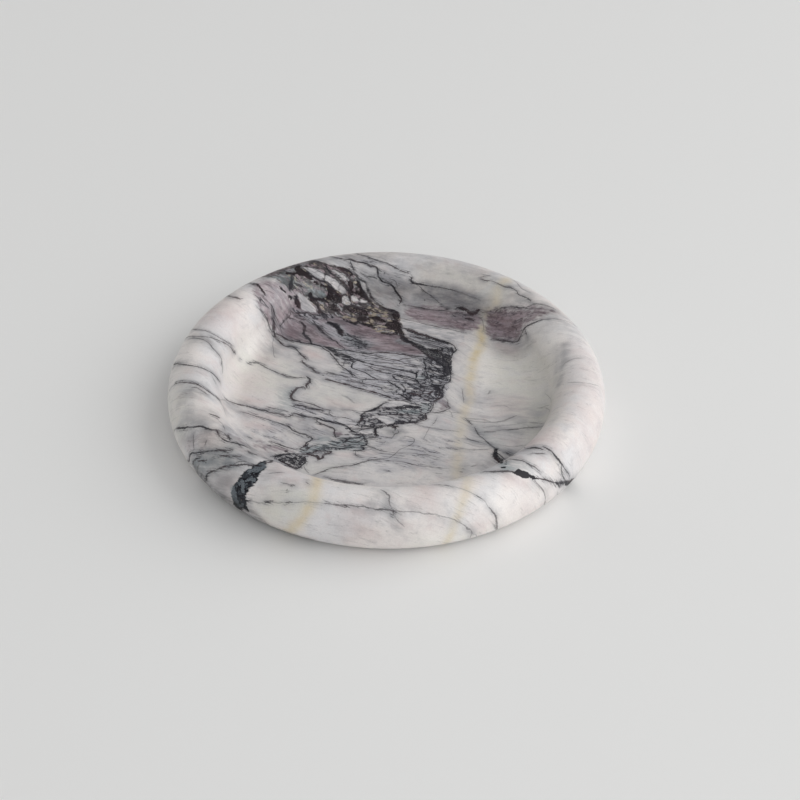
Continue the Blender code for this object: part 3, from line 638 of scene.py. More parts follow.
        (0.9, 5.0, -92, 86, -84, 90, -72, 92, -64, 88, -60, 80, -64, 72, -68, 64, -76, 66, -84, 70, -90, 76),
        (0.6, 5.0, -54, 60, -44, 56, -36, 60, -40, 66, -50, 68),
        (0.6, 5.0, -24, 54, -8, 50, 4, 50, 2, 58, -8, 62, -20, 60),
        (0.5, 6.0, 10, 86, 22, 80, 34, 77, 40, 80, 30, 86, 16, 90),
    ),
    "brown": (
        (0.45, 3.0, -84, 100, -76, 108, -66, 114, -58, 117, -54, 114, -62, 110, -68, 106, -73, 102, -80, 98),
        (0.9, 1.6, -77, 102, -71, 103.5, -69, 100.5, -65, 101.5, -64, 98, -64.5, 94, -62, 92, -64, 89.5,
         -67.5, 90, -69, 94, -71, 97, -67, 98.5, -73, 100),
        (0.9, 1.5, -21.5, 99.5, -17, 98.5, -14.5, 95, -17, 94.5, -20, 96, -22.5, 97),
        (0.9, 1.5, -19.5, 82.5, -14, 82, -12, 80, -12, 76.5, -16, 76.5, -19, 78.5),
        (0.8, 1.5, -10, 82.5, -6, 82, -3, 79, -1, 77, -4, 75, -8, 77, -11, 79),
        (0.9, 1.5, 24, 51, 30, 50.5, 31.5, 47.5, 28, 48, 25, 49),
        (0.7, 2.0, -2, 77, 3, 80, 6, 79, 7, 72, 9, 66, 5, 67, 1, 70, -2, 74),
        (0.6, 1.5, 3, -20, 8, -20, 8, -24, 3, -25),
    ),
    "black": (
        (1.0, 0.9, 76.4, -100.6, 79, -99.2, 81, -97.4, 84, -97.8, 87, -98.2, 90, -99, 94.6, -99.6, 91, -100.9,
         87, -101.7, 84, -102.8, 81, -102.3, 78.4, -101.6),
        (0.75, 0.8, 70.4, -96.6, 73.6, -96.4, 74, -98.4, 71, -98.6),
        (0.95, 1.0, 60.8, -40, 63.6, -40.4, 62.8, -44, 63.8, -47.6, 66.6, -50, 64, -54.6, 61.4, -50, 60.4,
         -45),
        (0.9, 1.6, 112, -94.6, 118, -92.4, 124, -88.6, 130, -85.4, 138, -81.4, 150, -78, 148, -88, 138, -89,
         130, -90, 124, -92, 118, -93.6),
        (1.0, 1.2, -64, 105.5, -62.5, 110.5, -60, 110.5, -59.5, 106.5, -57, 105.2, -54, 104, -52, 102, -51.5,
         99.7, -54, 99.6, -57, 100.6, -60, 100.3, -63, 102.3),
        (1.0, 1.2, -71, 102, -66, 102.5, -63, 101.5, -64, 99.8, -69, 100.2),
        (0.75, 1.4, -52, 100.4, -46, 99.6, -40.5, 100, -39, 97.5, -43, 96.5, -48, 97.5, -52, 98.3),
        (1.0, 1.2, -40.5, 99.5, -37, 98, -34, 96, -31, 94.7, -29.6, 92, -29.6, 89.4, -33, 88.8, -36, 89.6,
         -40.3, 90.3, -40, 94, -41, 97),
        (1.0, 1.0, -53, 91, -51.5, 92.6, -49.5, 91.8, -50, 90, -46, 90.2, -42, 91, -39.5, 89.9, -37, 89.2,
         -37, 88, -43, 88.4, -47, 87.5, -49, 86.8, -51, 88.2),
        (0.9, 1.2, -38, 88, -34, 88.5, -31, 88, -30, 86.4, -27.5, 84.6, -31, 84, -35, 84.2, -38, 86),
        (0.75, 1.2, -46.5, 86.5, -43, 85.4, -41.5, 82.9, -38.5, 81.8, -40, 80.3, -43, 80.5, -43, 83, -45,
         84.6),
        (1.0, 1.0, -62.5, 88, -59.5, 86, -57, 84, -55, 80.6, -58, 80.6, -60, 82.4, -61, 85),
        (0.8, 1.0, -67, 85.5, -64, 86.5, -62.5, 85, -64, 83, -66.5, 84),
        (0.95, 1.4, -28, 88, -24, 88.6, -19, 88.8, -15.5, 88, -13, 86, -11.5, 84, -12.5, 82.4, -17, 83.2, -21,
         84.4, -27, 86),
        (1.0, 1.2, 1, 88, 4, 87.7, 6, 85, 6.3, 82, 5.8, 79, 6.4, 76, 7.6, 72, 8.8, 68, 9.8, 64, 11, 60.5,
         14.5, 57, 10.5, 56.5, 8, 58.6, 7, 62, 5.6, 66, 2.4, 68.6, -1.4, 70.4, -2.6, 74, -1, 76.8, 2, 77, 3.2,
         80, 2, 84),
        (0.95, 1.0, -7, 83.5, -5, 81, -3, 78.8, -1.5, 77, -3.5, 76, -5.5, 78, -8, 80, -10.8, 80.6, -10.2, 77,
         -8.6, 72, -7, 70.4, -8.4, 70, -10, 72.6, -12, 76, -12.4, 80.4, -11, 83),
        (1.0, 1.0, -23.5, 107.5, -20.5, 105.2, -17.4, 101, -14.5, 96.4, -12, 92.6, -13.4, 91.4, -17, 95, -19,
         99, -22, 103.5),
        (0.9, 1.2, -36, 112, -30, 111.7, -26, 110.4, -24, 108, -26, 106.6, -28, 108.6, -32, 109.4),
        (0.95, 1.2, -27.6, 105, -24, 104, -23, 99, -22, 95.4, -25, 95.2, -26.2, 99, -27.8, 102.4),
        (0.8, 1.2, -22, 98.4, -17, 98, -15.4, 95.4, -17, 94.8, -22, 96.2),
        (1.0, 1.0, -20, 77.6, -16, 75.8, -11, 74, -9.6, 71.4, -12, 71.2, -15, 72.8, -19, 74.4),
        (0.95, 1.0, -29, 80, -26, 79, -21, 76, -18.4, 74.4, -20, 73.2, -25, 76.4),
        (0.95, 1.0, -5, 65.8, 0, 65.6, 5, 66.6, 6.4, 64, 2, 63.6, -4, 64.4),
        (0.8, 1.2, -37.4, 76.2, -35, 76.7, -31, 73.2, -29.4, 70.2, -27.2, 68, -27, 63.4, -29, 61.8, -30.6, 66,
         -31.6, 70, -34.6, 72.8, -36.8, 74.4),
        (0.8, 1.4, 10, 69.6, 14, 69, 20, 66.2, 26, 63.4, 32, 60.2, 36.6, 57, 36, 55, 30, 57.8, 24, 60.6, 18,
         63.4, 12, 66.6),
        (1.0, 1.6, 9, 62, 13, 59, 20, 54.6, 22, 52, 26, 51.6, 30.6, 51.6, 32, 47, 37.6, 44, 37.9, 33, 36.6,
         25, 34.6, 24, 33.4, 29, 31, 36, 27, 39, 23.5, 43, 20, 47.4, 16, 52, 12, 56.6, 8.6, 59.6),
        (0.38, 2.0, 36, 34, 37.4, 27, 36.8, 20, 33, 18, 28, 22, 23, 28, 22, 38, 27, 39, 32, 36),
        (0.65, 1.6, 26, 17.6, 33, 17, 32, 11, 31.4, 4.6, 28, 4, 28, 10),
        (0.45, 2.0, 27, 6, 27.6, 0, 25, -8, 22.6, -8, 23, 0),
        (0.6, 2.0, 31, 51.6, 38.6, 50, 38.6, 45, 37, 43, 33, 45),
        (0.78, 1.6, 7, -15.6, 10, -16.8, 16, -15.8, 20, -14.3, 21.3, -10.8, 23.4, -10.8, 23.5, -15, 21, -17.2,
         17, -19.1, 11, -20.1, 6, -20.7, 5.4, -18),
        (0.8, 1.2, 5, -5.8, 8, -4.9, 12, -3.3, 17, -2.8, 20, -4.4, 19, -6.1, 14, -5.7, 9, -6.6, 5, -7.2),
        (0.6, 1.4, 15, 29, 19, 28.2, 22, 27, 22, 24.8, 18, 25.8, 15.6, 25),
        (0.62, 1.4, 24, 27.2, 28, 25.6, 32, 24.6, 31, 22, 26, 23, 23.8, 24.6),
        (0.55, 1.2, 0, 19.4, 4, 17.6, 8, 13.8, 9.4, 10, 6, 11.6, 3, 14.8, -1, 18),
        (0.7, 1.2, 9, 3.4, 12, 4.8, 15, 3.8, 14, 1, 10, 1.4),
        (0.7, 1.2, 17.6, 7.4, 20, 8.4, 20.4, 6, 18, 5.6),
        (0.45, 1.6, 8, 19, 14, 18.6, 20, 15.4, 23, 12, 19, 11.6, 13, 14.6),
        (0.62, 1.6, -63.5, -51, -59, -49.4, -56, -51, -53, -49, -50, -48.4, -46, -49, -43.8, -51, -44.4, -54,
         -46, -57, -48, -60.6, -50, -61.2, -54, -57.6, -58, -55.2, -60, -52.6),
        (1.0, 0.8, -56.6, -45, -54, -45.8, -54.8, -47.6, -56.8, -46.8),
        (0.6, 1.4, -46, -37.6, -42.4, -38.8, -43, -42, -46, -42.6, -49.2, -44.8, -47, -41),
        (0.52, 1.4, -43.3, -48.2, -40, -48.8, -37, -46.8, -33, -45.8, -30.3, -44.8, -31, -47.2, -34, -50.2,
         -36, -52.2, -38, -53.8, -38.6, -51, -41, -50.6, -43.3, -50.2),
        (0.42, 1.4, -28, -34, -22, -33.6, -19.6, -35.8, -23.6, -37.2, -26, -40.4, -28.6, -37),
        (0.55, 1.4, -33.4, -41.8, -28, -41.8, -22, -42.8, -18, -43, -18, -44.8, -26, -45, -33.4, -44.6),
    ),
    "dark": (
        (1.0, 2.4, -70, -92, -72, -97, -71.4, -101.6, -74.6, -104.6, -76.6, -109.6, -80, -111.6, -84, -113,
         -87.6, -117.6, -89, -122.6, -91, -126, -95, -121.6, -99.6, -123.6, -105, -121.4, -103.6, -117, -100,
         -115, -98, -110, -92, -106.4, -86, -103, -80, -100, -75.4, -96.6),
        (0.4, 3.0, -72, -92, -68, -90, -66.5, -86, -62, -76, -57, -64, -54, -58, -58, -57, -62, -66, -66, -76,
         -70, -86),
    ),
    "net": (
        (0.75, 2.0, -62, 80, -56, 76, -48, 74.6, -40, 77, -32, 79, -32, 84, -40, 82.6, -44, 80.4, -56, 80.4),
        (0.85, 3.0, 12, 2, 8, 8, 10, 13, 15, 18, 19, 24, 20, 32, 21, 43, 26, 45, 32, 42, 37, 33, 36, 28, 37,
         20, 34, 17, 32, 10, 31, 3, 27, 0, 20, 2),
        (0.62, 2.0, -1, -1, -8, -7, -15, -12, -15, -18, -20, -24, -14, -24.4, -6, -23, 4, -21, 10, -20, 20,
         -18, 23, -13, 26, -8, 27, 0, 20, 1, 10, 0, 4, -1),
        (0.62, 2.5, -38, 52, -33, 50, -28, 46, -22, 43, -16, 39, -19, 34, -24, 33, -28, 37, -31, 42, -35, 47),
        (0.75, 3.5, -26, 66, -20, 64, -14, 59, -8, 53, -12, 48, -20, 50, -25, 56, -28, 62),
        (0.7, 3.0, 2, 13, 8, 15, 8, 8, 4, 6, 0, 9),
        (0.62, 3.0, -20, -26, -6, -24, -7, -31, -11, -34, -11, -44, -20, -45, -30, -46, -36, -50, -44, -50,
         -52, -48, -47, -42, -38, -40, -31, -36, -26, -33),
        (0.6, 2.5, -64, -50, -56, -47, -48, -46, -42, -49, -43, -56, -48, -62, -56, -60, -62, -56),
        (0.5, 3.0, 12, 68, 22, 63, 30, 59, 37, 55, 34, 51, 26, 54, 16, 58, 12, 62),
        (0.9, 2.5, 30, 54, 38.6, 53, 39.4, 48, 37, 41, 32, 44),
    ),
    # Partly a grey veil in the stone and partly painted shade, the latter in the coves, on the rim's inner
    # walls and on the outer side at the lower left
    "haze_and_shade": (
        (0.5, 6.0, -124, -114, -104, -125, -93, -133, -82, -145, -96, -154, -130, -132),
        (0.5, 3.0, 46, -18, 54, -22, 60, -36, 58, -44, 48, -36),
        (0.35, 4.0, -76, 58, -64, 58, -64, 40, -72, 34, -76, 44),
        (0.9, 5.0, -18, 111, -4, 113, 2, 108, -6, 102, -18, 104),
        (0.7, 4.0, -40, 121, -20, 129, -14, 122, -24, 114, -38, 114),
        (0.5, 4.0, 88, 79, 100, 73, 112, 63, 108, 58, 94, 67),
        (0.5, 4.0, -52, -26, -34, -28, -27, -33, -38, -37, -50, -32),
        (0.35, 4.0, -33, -3, -22, -5, -20, -13, -32, -14),
        (0.5, 3.0, -3, -21.6, 10, -21, 12, -27, 2, -29),
        (0.4, 5.0, -2, 98, 16, 97, 18, 90, 2, 89),
        (0.9, 2.5, 67, -80, 75, -76, 77.6, -88, 76, -93, 69, -93),
        (0.8, 3.0, 63, -41, 72, -40, 78, -44, 72, -50, 66, -50),
        (0.4, 6.0, 60, 56, 74, 53, 88, 52, 90, 46, 76, 44, 66, 46),
        (0.5, 4.0, 84, 82, 94, 77, 100, 70, 92, 70, 84, 76),
        (0.4, 6.0, 54, 84, 62, 78, 62, 70, 54, 72, 50, 78),
        (0.3, 6.0, 70, 2, 88, 2, 92, -16, 78, -30, 62, -38, 62, -28, 74, -18),
        (0.5, 5.0, -20, 104, -4, 112, 4, 104, 8, 94, 0, 90, -8, 98),
        (0.8, 7.0, 2, 104, 8, 109, 24, 106, 44, 99, 60, 93, 66, 84, 40, 84, 20, 88, 8, 92),
        (0.8, 4.0, -72, 67, -66, 62, -58, 57, -51, 54, -52, 47, -58, 47, -66, 52, -73, 60),
        (0.5, 4.0, -106, -26, -98, -14, -88, 2, -80, -2, -86, -12, -96, -26),
        (0.8, 6.0, -137, -72, -122, -76, -106, -80, -92, -86, -80, -92, -80, -100, -100, -97, -118, -97, -132,
         -90),
        (0.5, 5.0, -99, -52, -92, -60, -84, -72, -76, -80, -80, -90, -94, -84, -100, -72, -103, -60),
        (0.5, 6.0, -112, -98, -98, -97, -88, -102, -96, -108, -108, -114, -118, -106),
        (0.45, 7.0, -84, -36, -72, -40, -60, -46, -62, -54, -74, -52, -86, -46),
        (0.5, 7.0, -124, -44, -112, -52, -104, -62, -112, -72, -126, -70, -134, -58),
        (0.3, 9.0, -14, 112, 14, 112, 40, 104, 62, 95, 78, 88, 96, 80, 92, 92, 66, 112, 40, 123, 10, 128, -14,
         126),
        (0.5, 6.0, -92, 92, -80, 104, -66, 112, -50, 120, -30, 126, -20, 124, -26, 112, -60, 104, -78, 96),
        (0.45, 9.0, -94, 95, -72, 107, -50, 118, -25, 128, 0, 130, 25, 124, 10, 113, -10, 110, -30, 112, -50,
         106, -70, 97, -86, 86),
        (0.75, 6.0, 22, 103, 40, 98, 50, 94, 58, 90, 60, 86, 57, 82, 48, 82, 40, 84, 33, 88, 27, 95, 22, 100),
        (0.6, 4.0, 14, 62, 24, 60, 34, 56, 33, 51, 24, 54, 15, 57),
        (0.5, 3.0, -50, -16.6, -43, -17, -42, -20.8, -50, -20),
        (0.4, 6.0, 40, -53, 60, -52, 58, -61, 40, -61),
        (0.5, 5.0, -130, -22, -120, -24, -118, -34, -130, -36),
        (0.45, 8.0, 60, -95, 68, -90, 74, -84, 80, -78, 88, -70, 92, -76, 84, -84, 76, -94, 68, -101),
        (0.35, 8.0, 80, 80, 100, 74, 116, 60, 128, 40, 118, 38, 100, 58, 84, 68),
        (0.3, 6.0, 118, -86, 134, -82, 134, -92, 120, -93),
    ),
    "cream": (
        (0.8, 12.0, -92, 44, -76, 42, -58, 34, -52, 20, -60, 4, -84, -2, -96, 12),
        (0.6, 8.0, -44, 18, -30, 14, -10, 4, -4, 0, -18, -6, -34, -4, -46, 4),
        (0.8, 12.0, 60, 52, 84, 48, 104, 30, 108, 0, 104, -50, 88, -40, 76, -20, 64, 0, 58, 24),
        (0.7, 8.0, 18, 116, 40, 112, 60, 104, 72, 94, 82, 82, 74, 80, 60, 92, 40, 102, 20, 108),
        (0.9, 8.0, -70, -116, -46, -118, -40, -126, -60, -138, -80, -136, -84, -124),
        (0.6, 10.0, -146, -10, -132, -16, -122, -30, -122, -60, -134, -64, -146, -40),
        (0.6, 8.0, -48, -54, -34, -58, -20, -56, -34, -66, -46, -64),
        (0.5, 10.0, 60, -142, 40, -146, 20, -150, 20, -160, 60, -152),
    ),
    "teal": (
        (0.6, 3.0, -62, 98, -52, 98, -41, 97, -41, 91, -50, 89, -62, 92),
        (0.6, 3.0, -84, 96, -74, 99, -70, 104, -62, 108, -56, 112, -64, 102, -60, 92, -72, 90),
        (0.9, 1.8, -52.6, 95.6, -48, 96.4, -42, 95.6, -41.6, 92, -46, 90.6, -51, 92),
        (0.8, 2.0, 70, -92, 75, -91, 78, -96, 82, -97.4, 77, -100.6, 70, -100.6),
        (0.5, 5.0, -128, -76, -110, -80, -96, -84, -92, -94, -112, -92, -126, -86),
        (0.9, 3.0, -48, -43, -44, -42, -38, -39, -33, -38, -24, -33.5, -12, -31, -10.5, -37, -13, -43, -20,
         -44.5, -30, -44.5, -38, -46, -42, -48, -47, -47.5),
        (0.9, 1.6, -38, -33, -32, -33, -31, -36, -36, -37, -39, -36),
        (0.9, 1.2, 16.6, 23.6, 18, 25, 22, 25, 22.6, 22.4, 18, 21.6),
        (0.9, 1.2, 27.4, 46.8, 29.6, 47, 30.2, 44, 28, 43.4),
        (0.8, 1.2, 6.6, 60, 9, 57.6, 13, 56, 13, 54, 8, 55, 4, 58),
        (1.0, 1.4, 7, -7, 12, -6.6, 19, -6.6, 20, -9, 19, -11, 12, -10.4, 6, -10),
        (0.9, 1.4, 20, -1, 25, -1, 25, -5, 24, -8, 21, -9, 20, -6),
        (0.9, 1.4, -48, 95, -41, 94.6, -40.6, 91, -46, 90.6, -49, 92),
        (0.7, 1.6, -74, 98, -71, 97, -71, 93, -75, 94),
        (0.6, 5.0, -62, 10, -55, 11, -54, -8, -62, -10),
        (0.8, 2.0, -78, -100, -73, -101, -74, -103.3, -80, -104, -82, -102),
        (0.5, 5.0, -98, -78, -93, -78, -92, -84, -98, -84),
        (0.5, 7.0, -108, -84, -92, -88, -90, -98, -106, -96),
        (0.6, 5.0, 76, -91, 88, -92, 88, -98, 76, -97),
        (0.9, 1.6, 73.6, -97, 77, -97, 81, -97.4, 78, -100, 75, -99.6),
        (0.4, 6.0, 51, -20, 57, -22, 66, -36, 62, -39),
        (0.6, 3.0, 25, 48, 31, 46, 30, 42, 25, 43),
        (0.6, 5.0, -27, 63, -16, 58, -11, 54, -16, 52, -25, 57),
    ),
    "pink": (
        (0.6, 5.0, -88, 4, -78, 3, -68, -2, -72, -6, -84, -4),
        (0.7, 4.0, -82, -20, -70, -21, -62, -26, -66, -28, -80, -25),
        (0.6, 4.0, -80, -12, -66, -14, -60, -17, -70, -17, -80, -15),
        (0.6, 5.0, -34, 2, -22, -2, -14, -4, -22, -8, -32, -5),
        (0.7, 5.0, -50, 48, -42, 46, -38, 40, -44, 40, -50, 43),
        (0.5, 6.0, -76, 44, -70, 40, -66, 34, -72, 34, -78, 38),
        (0.5, 14.0, -120, 72, -100, 62, -96, 40, -116, 42, -130, 55),
        (0.4, 14.0, -96, 30, -70, 26, -66, 0, -90, 2),
        (0.5, 8.0, -112, -66, -102, -67, -102, -76, -113, -76),
        (0.4, 5.0, -126, -64, -118, -65, -118, -73, -126, -72),
        (0.5, 12.0, -108, -98, -94, -98, -92, -108, -102, -112),
        (0.6, 4.0, -68, -106.5, -61, -106, -60, -109.5, -67, -110),
        (0.6, 5.0, -60, -109, -51, -110, -51, -115, -58, -115),
        (0.45, 12.0, -70, -96, -52, -102, -50, -110, -68, -104),
        (0.45, 10.0, -24, -131, -8, -133, -6, -150, -24, -152),
        (0.5, 8.0, 18, -112, 34, -113, 30, -130, 16, -130),
        (0.4, 12.0, 122, -24, 142, -24, 142, -60, 124, -74, 114, -50),
        (0.5, 8.0, 55, -130, 72, -131, 70, -142, 56, -140),
        (0.6, 6.0, 72, -101, 88, -103, 90, -109, 72, -108),
        (0.6, 12.0, 88, -62, 104, -64, 104, -76, 88, -74),
        (0.5, 5.0, -25, -46, -17, -46, -17, -50.5, -25, -50),
        (0.5, 4.0, -12, -44, -5, -45, -5, -48.5, -12, -48),
        (0.4, 9.0, 62, 6, 80, 6, 80, -11, 62, -9),
        (0.4, 16.0, 118, 30, 136, 24, 140, -40, 122, -40),
        (0.4, 20.0, 80, -112, 120, -100, 112, -125, 84, -135),
    ),
    "pale": (
        (1.0, 1.2, -58, 108.2, -52, 108.6, -46, 107, -44.2, 105.4, -44.2, 102.2, -48, 101.8, -53, 103.2, -57,
         106),
        (1.0, 1.0, -43.2, 105.2, -40, 104.6, -36, 103, -31, 100.6, -28, 98, -26.8, 95.8, -31, 96.2, -36, 98.4,
         -40, 100.8, -43.2, 101.9),
        (0.55, 1.2, -40, 109.2, -36, 109.4, -31, 108, -27.8, 105.2, -27.8, 103.4, -31, 104.4, -36, 106.6, -40,
         107.7),
        (0.85, 0.9, -22, 106.4, -19, 104.2, -17, 101.2, -15.4, 98, -14.2, 95, -16, 97.6, -18.2, 102, -21,
         105),
        (0.8, 0.9, -18, 107, -15, 103.4, -12.6, 98.6, -11.4, 94.6, -12.8, 95, -15, 100, -18.4, 105.6),
        (1.0, 1.0, -29.6, 94.2, -26, 94.6, -24.2, 91.6, -23.6, 89.8, -26, 88.8, -28.6, 89.8),
        (1.0, 0.9, -24, 95, -20, 95, -19.2, 92.2, -22, 91.8, -23.8, 92.8),
        (0.8, 0.9, -18, 94, -15, 93.2, -12.6, 92.2, -15, 91.2, -18, 91.6),
        (0.95, 1.4, -62, 90.4, -57, 89, -50, 86.2, -45, 83.6, -43.8, 81.2, -48, 80.4, -54, 80.6, -56, 84, -59,
         87),
        (0.6, 1.6, -38, 83, -33, 83, -28, 81.6, -31, 80.6, -38, 81.5),
        (0.55, 1.6, -60, 93, -54, 94.2, -50, 95, -48, 92.2, -52, 93.6, -58, 91.4),
        (1.0, 1.8, 8, 79, 12, 79.2, 18, 77, 24, 74.6, 32, 71.4, 40, 68.4, 45, 65.8, 45, 59, 42, 56, 36, 60,
         28, 65, 20, 68.6, 13, 71.2, 9, 73.4),
        (0.3, 2.0, -5, 44, 1, 46.8, 6, 45.4, 10, 42.4, 6, 40.6, 0, 42.6),
        (0.35, 2.0, 8, 39.6, 14, 42, 20, 42.8, 20.4, 38, 20, 34.6, 14, 36.4, 10, 38),
        (0.4, 2.0, -5, 36.4, 0, 35.8, 6, 32.8, 12, 31, 19, 30.6, 20, 33, 14, 34.4, 4, 37.6),
        (0.5, 1.6, 6, 24, 14, 22, 15.4, 20.2, 8, 20.6, 5, 22),
        (0.4, 2.0, -5, 17, 0, 16.6, 4, 13, 8, 9.4, 4, 8.6, -2, 10, -5, 13),
        (0.6, 1.2, 9, 15.2, 14, 13.2, 20, 10.2, 18, 9.6, 12, 11.2, 9, 13),
        (0.85, 1.2, 23, 37.2, 28, 36, 33, 33.2, 30, 32.4, 25, 33.4, 23, 34.4),
        (0.8, 1.2, 24, 31, 30, 28.4, 32.4, 26, 28, 27.2, 24, 29.2),
        (0.6, 1.2, 26, 21, 30, 20.2, 32, 18.2, 29, 17.2, 26, 18.7),
        (0.95, 1.2, -1.4, -1, 4, 1.4, 8, 1.4, 14, -0.8, 13, -2.6, 8, -3.8, 2, -4.6, -2, -4.8, -3, -3),
        (0.85, 1.4, -8.4, -13.2, -4, -12.6, 1, -13, 4, -15.4, 5.4, -18, 4, -19.8, 1, -20.4, -2, -18.4, -5,
         -16, -8, -15),
        (0.8, 1.6, -16, -25.6, -8, -25, -7, -28, -9, -30.8, -13, -30, -16, -28),
        (0.75, 1.6, -24, -31, -18, -29.4, -17, -32.6, -22, -33.2, -26, -32.8),
        (0.5, 1.2, -26, -38.6, -22, -37.6, -19.8, -38.2, -20, -41, -24, -41.6, -26.6, -41),
    ),
    "fleck": (
        (0.9, 1.0, -26.8, 90.6, -24.2, 90.8, -23.6, 89.6, -26, 88.8, -28, 89.4),
        (0.8, 0.9, -29, 109, -26.2, 109, -26.6, 107.8, -29, 108.2),
        (0.8, 1.0, -21.6, 104.6, -20, 102.4, -18.8, 99.6, -20.2, 100.2, -21.8, 103),
        (0.6, 1.0, -60.6, 89.8, -58, 88.8, -60, 86.8),
        (0.8, 1.2, -44, 100.4, -40, 100, -40.6, 98.8, -44, 99.2),
        (0.8, 1.6, -70, 99.4, -67, 99.4, -67, 97.4, -70, 97.6),
        (0.75, 1.6, -14, 90, -10, 89.6, -4, 88, 0, 86.6, 0, 84, -4, 85, -9, 87.6, -14, 88.2),
        (0.95, 1.2, -12, 84.2, -8, 85, -6.4, 83, -9, 81.2, -12, 82.2),
        (0.85, 1.2, -6, 84.4, -2, 84.6, 0.2, 82.4, -1, 80.6, -5, 82.2),
        (1.0, 1.0, -3, 79.7, 1.2, 79.7, 2.2, 77.6, -2, 77.5),
        (0.9, 1.4, -27, 82.4, -21, 80.6, -19, 77.4, -21, 75.8, -24, 78.4, -28, 80.7),
        (0.9, 1.2, -13, 76, -10, 76.2, -9.2, 73.8, -12, 73.6),
        (0.85, 1.4, -7, 74, -3, 74.2, -1, 71.6, -3, 70.2, -6, 71.2),
        (0.7, 1.4, -8, 69, -4, 69, -3, 66.6, -6, 65.4, -8, 67),
        (0.85, 1.2, -2, 69, 2, 69, 2.2, 66.2, -1.5, 66.4),
        (0.6, 1.0, 4, 64, 7, 64, 7, 61.6, 4, 62),
        (0.8, 1.4, -12, 80, -9, 80, -8.5, 74, -11, 74),
        (0.8, 1.0, -92.6, -116.3, -90.7, -116.4, -90.8, -118, -92.5, -118),
    ),
}

# A trail of colour: its strength, how far it reaches to each side, then the points x, y that it runs through
TRAILS = {
    "black": (
        (0.85, 1.3, 70.4, -78, 70.8, -86, 71.4, -91.6),
        (0.6, 1.0, 73.6, -80, 74.2, -88, 73.8, -94.6),
        (0.62, 1.5, 0, -1, -4, -5, -8, -8, -12, -11, -14, -14, -14, -18),
        (0.55, 1.8, -2, -7, 2, -9, 5, -9.5),
        (0.6, 1.3, -14, -18, -16, -21, -19, -24, -22, -25),
        (0.55, 1.0, -12, -17, -8, -17, -5, -18, -2, -20, -1, -22),
        (0.8, 1.4, -13, -22, -8, -23, -3, -23, 1, -22, 4, -20, 7, -17),
        (0.7, 0.9, 6, -20, 5, -24, 4, -28),
        (1.0, 0.9, -6, -25, -6, -31, -4.6, -31),
        (0.5, 1.3, -14.6, -30, -12, -33, -11.6, -36, -12, -40, -14, -42, -18, -44),
        (0.5, 1.0, -19, -35, -15, -35.6, -11, -36),
        (0.9, 1.1, -91, 90, -88, 87, -86, 84.6, -83.6, 81.6),
        (0.7, 0.9, -86.4, 77, -85.2, 73.6),
        (0.7, 0.8, -74, 90, -71.4, 87.6, -69, 86.6),
    ),
    "ochre": (
        (1.0, 3.2, 55.6, 70, 56, 62.5, 55, 55, 52.4, 48.7, 50.4, 41.2),
        (0.75, 3.2, 50.4, 41.2, 49.4, 32.5, 48, 22),
        (0.5, 3.0, 48, 22, 47.6, 15, 48.2, 3.2, 45.3, -4.4),
        (0.45, 3.4, 45.3, -4.4, 43.5, -14.4, 42.9, -22.6, 41, -35, 40.6, -43.8, 40.3, -52.6, 39.7, -60.3, 40,
         -76, 42, -92, 43, -106),
        (0.5, 5.0, 60, 77, 70, 79, 72, 86, 75, 92, 78, 98),
        (0.7, 4.0, -38, -96, -40, -106.3, -40, -112.4, -41.1, -120.2, -42.2, -126.3, -49.4, -134.1, -53.9,
         -138.6, -61.1, -141.9, -66.7, -144.1, -74, -149),
        (0.5, 3.4, 46, -102, 50, -107, 50.5, -113, 49, -118, 47.5, -124, 46, -130, 44.5, -134, 43.5, -140,
         43.5, -146, 45, -155, 47, -163),
        (0.5, 3.4, 78, 98, 84, 108, 91, 118, 96, 132),
    ),
    # Partly a grey veil in the stone and partly painted shade, the latter down the right inner wall
    "haze_and_shade": (
        (0.4, 5.0, -47, 27, -40, 25, -30, 22, -15, 18),
        (0.5, 5.0, -124, 28, -118, 27),
        (0.35, 4.0, 110, 28, 109, 14, 107, 2),
        (0.55, 4.0, 115, 28, 114, 14, 112, 4, 109, -5),
        (0.5, 3.0, 52, -24, 56, -33, 62, -41),
        (0.5, 6.0, -31, 119, -15, 116, -6, 107, 5, 100),
        (0.5, 5.0, -8, -131, -2, -126, 4, -133, 8, -140),
        (0.5, 3.0, 53, -139.5, 60, -144),
    ),
    "pink": (
        (0.5, 4.0, 66, 55, 71.2, 50, 75, 49),
        (0.5, 3.0, -18, -133.6, -12, -134.5),
    ),
    "teal": (
        (1.0, 2.4, -97, -116, -96, -112, -95, -109),
        (0.9, 1.0, -89, -107.6, -86, -107),
        (0.8, 1.0, -84, -107, -80, -107, -78, -108.5),
        (1.0, 1.2, -87.4, -112, -86.4, -108),
        (1.0, 2.2, -77.4, -102, -73.6, -100),
        (0.9, 1.2, -97, -119.6, -92, -119.4),
    ),
    "brown": (
        (0.5, 3.0, -108.1, -51.6, -105, -53),
    ),
}

# The names of all patches, each a number that the mesh carries and the marble reads
MASKS = ("shade", "light", "mauve", "rose", "brown", "breccia", "black", "dark", "net", "bundle", "dish",
         "haze_and_shade", "cream", "teal", "pink", "pale", "fleck", "ochre")

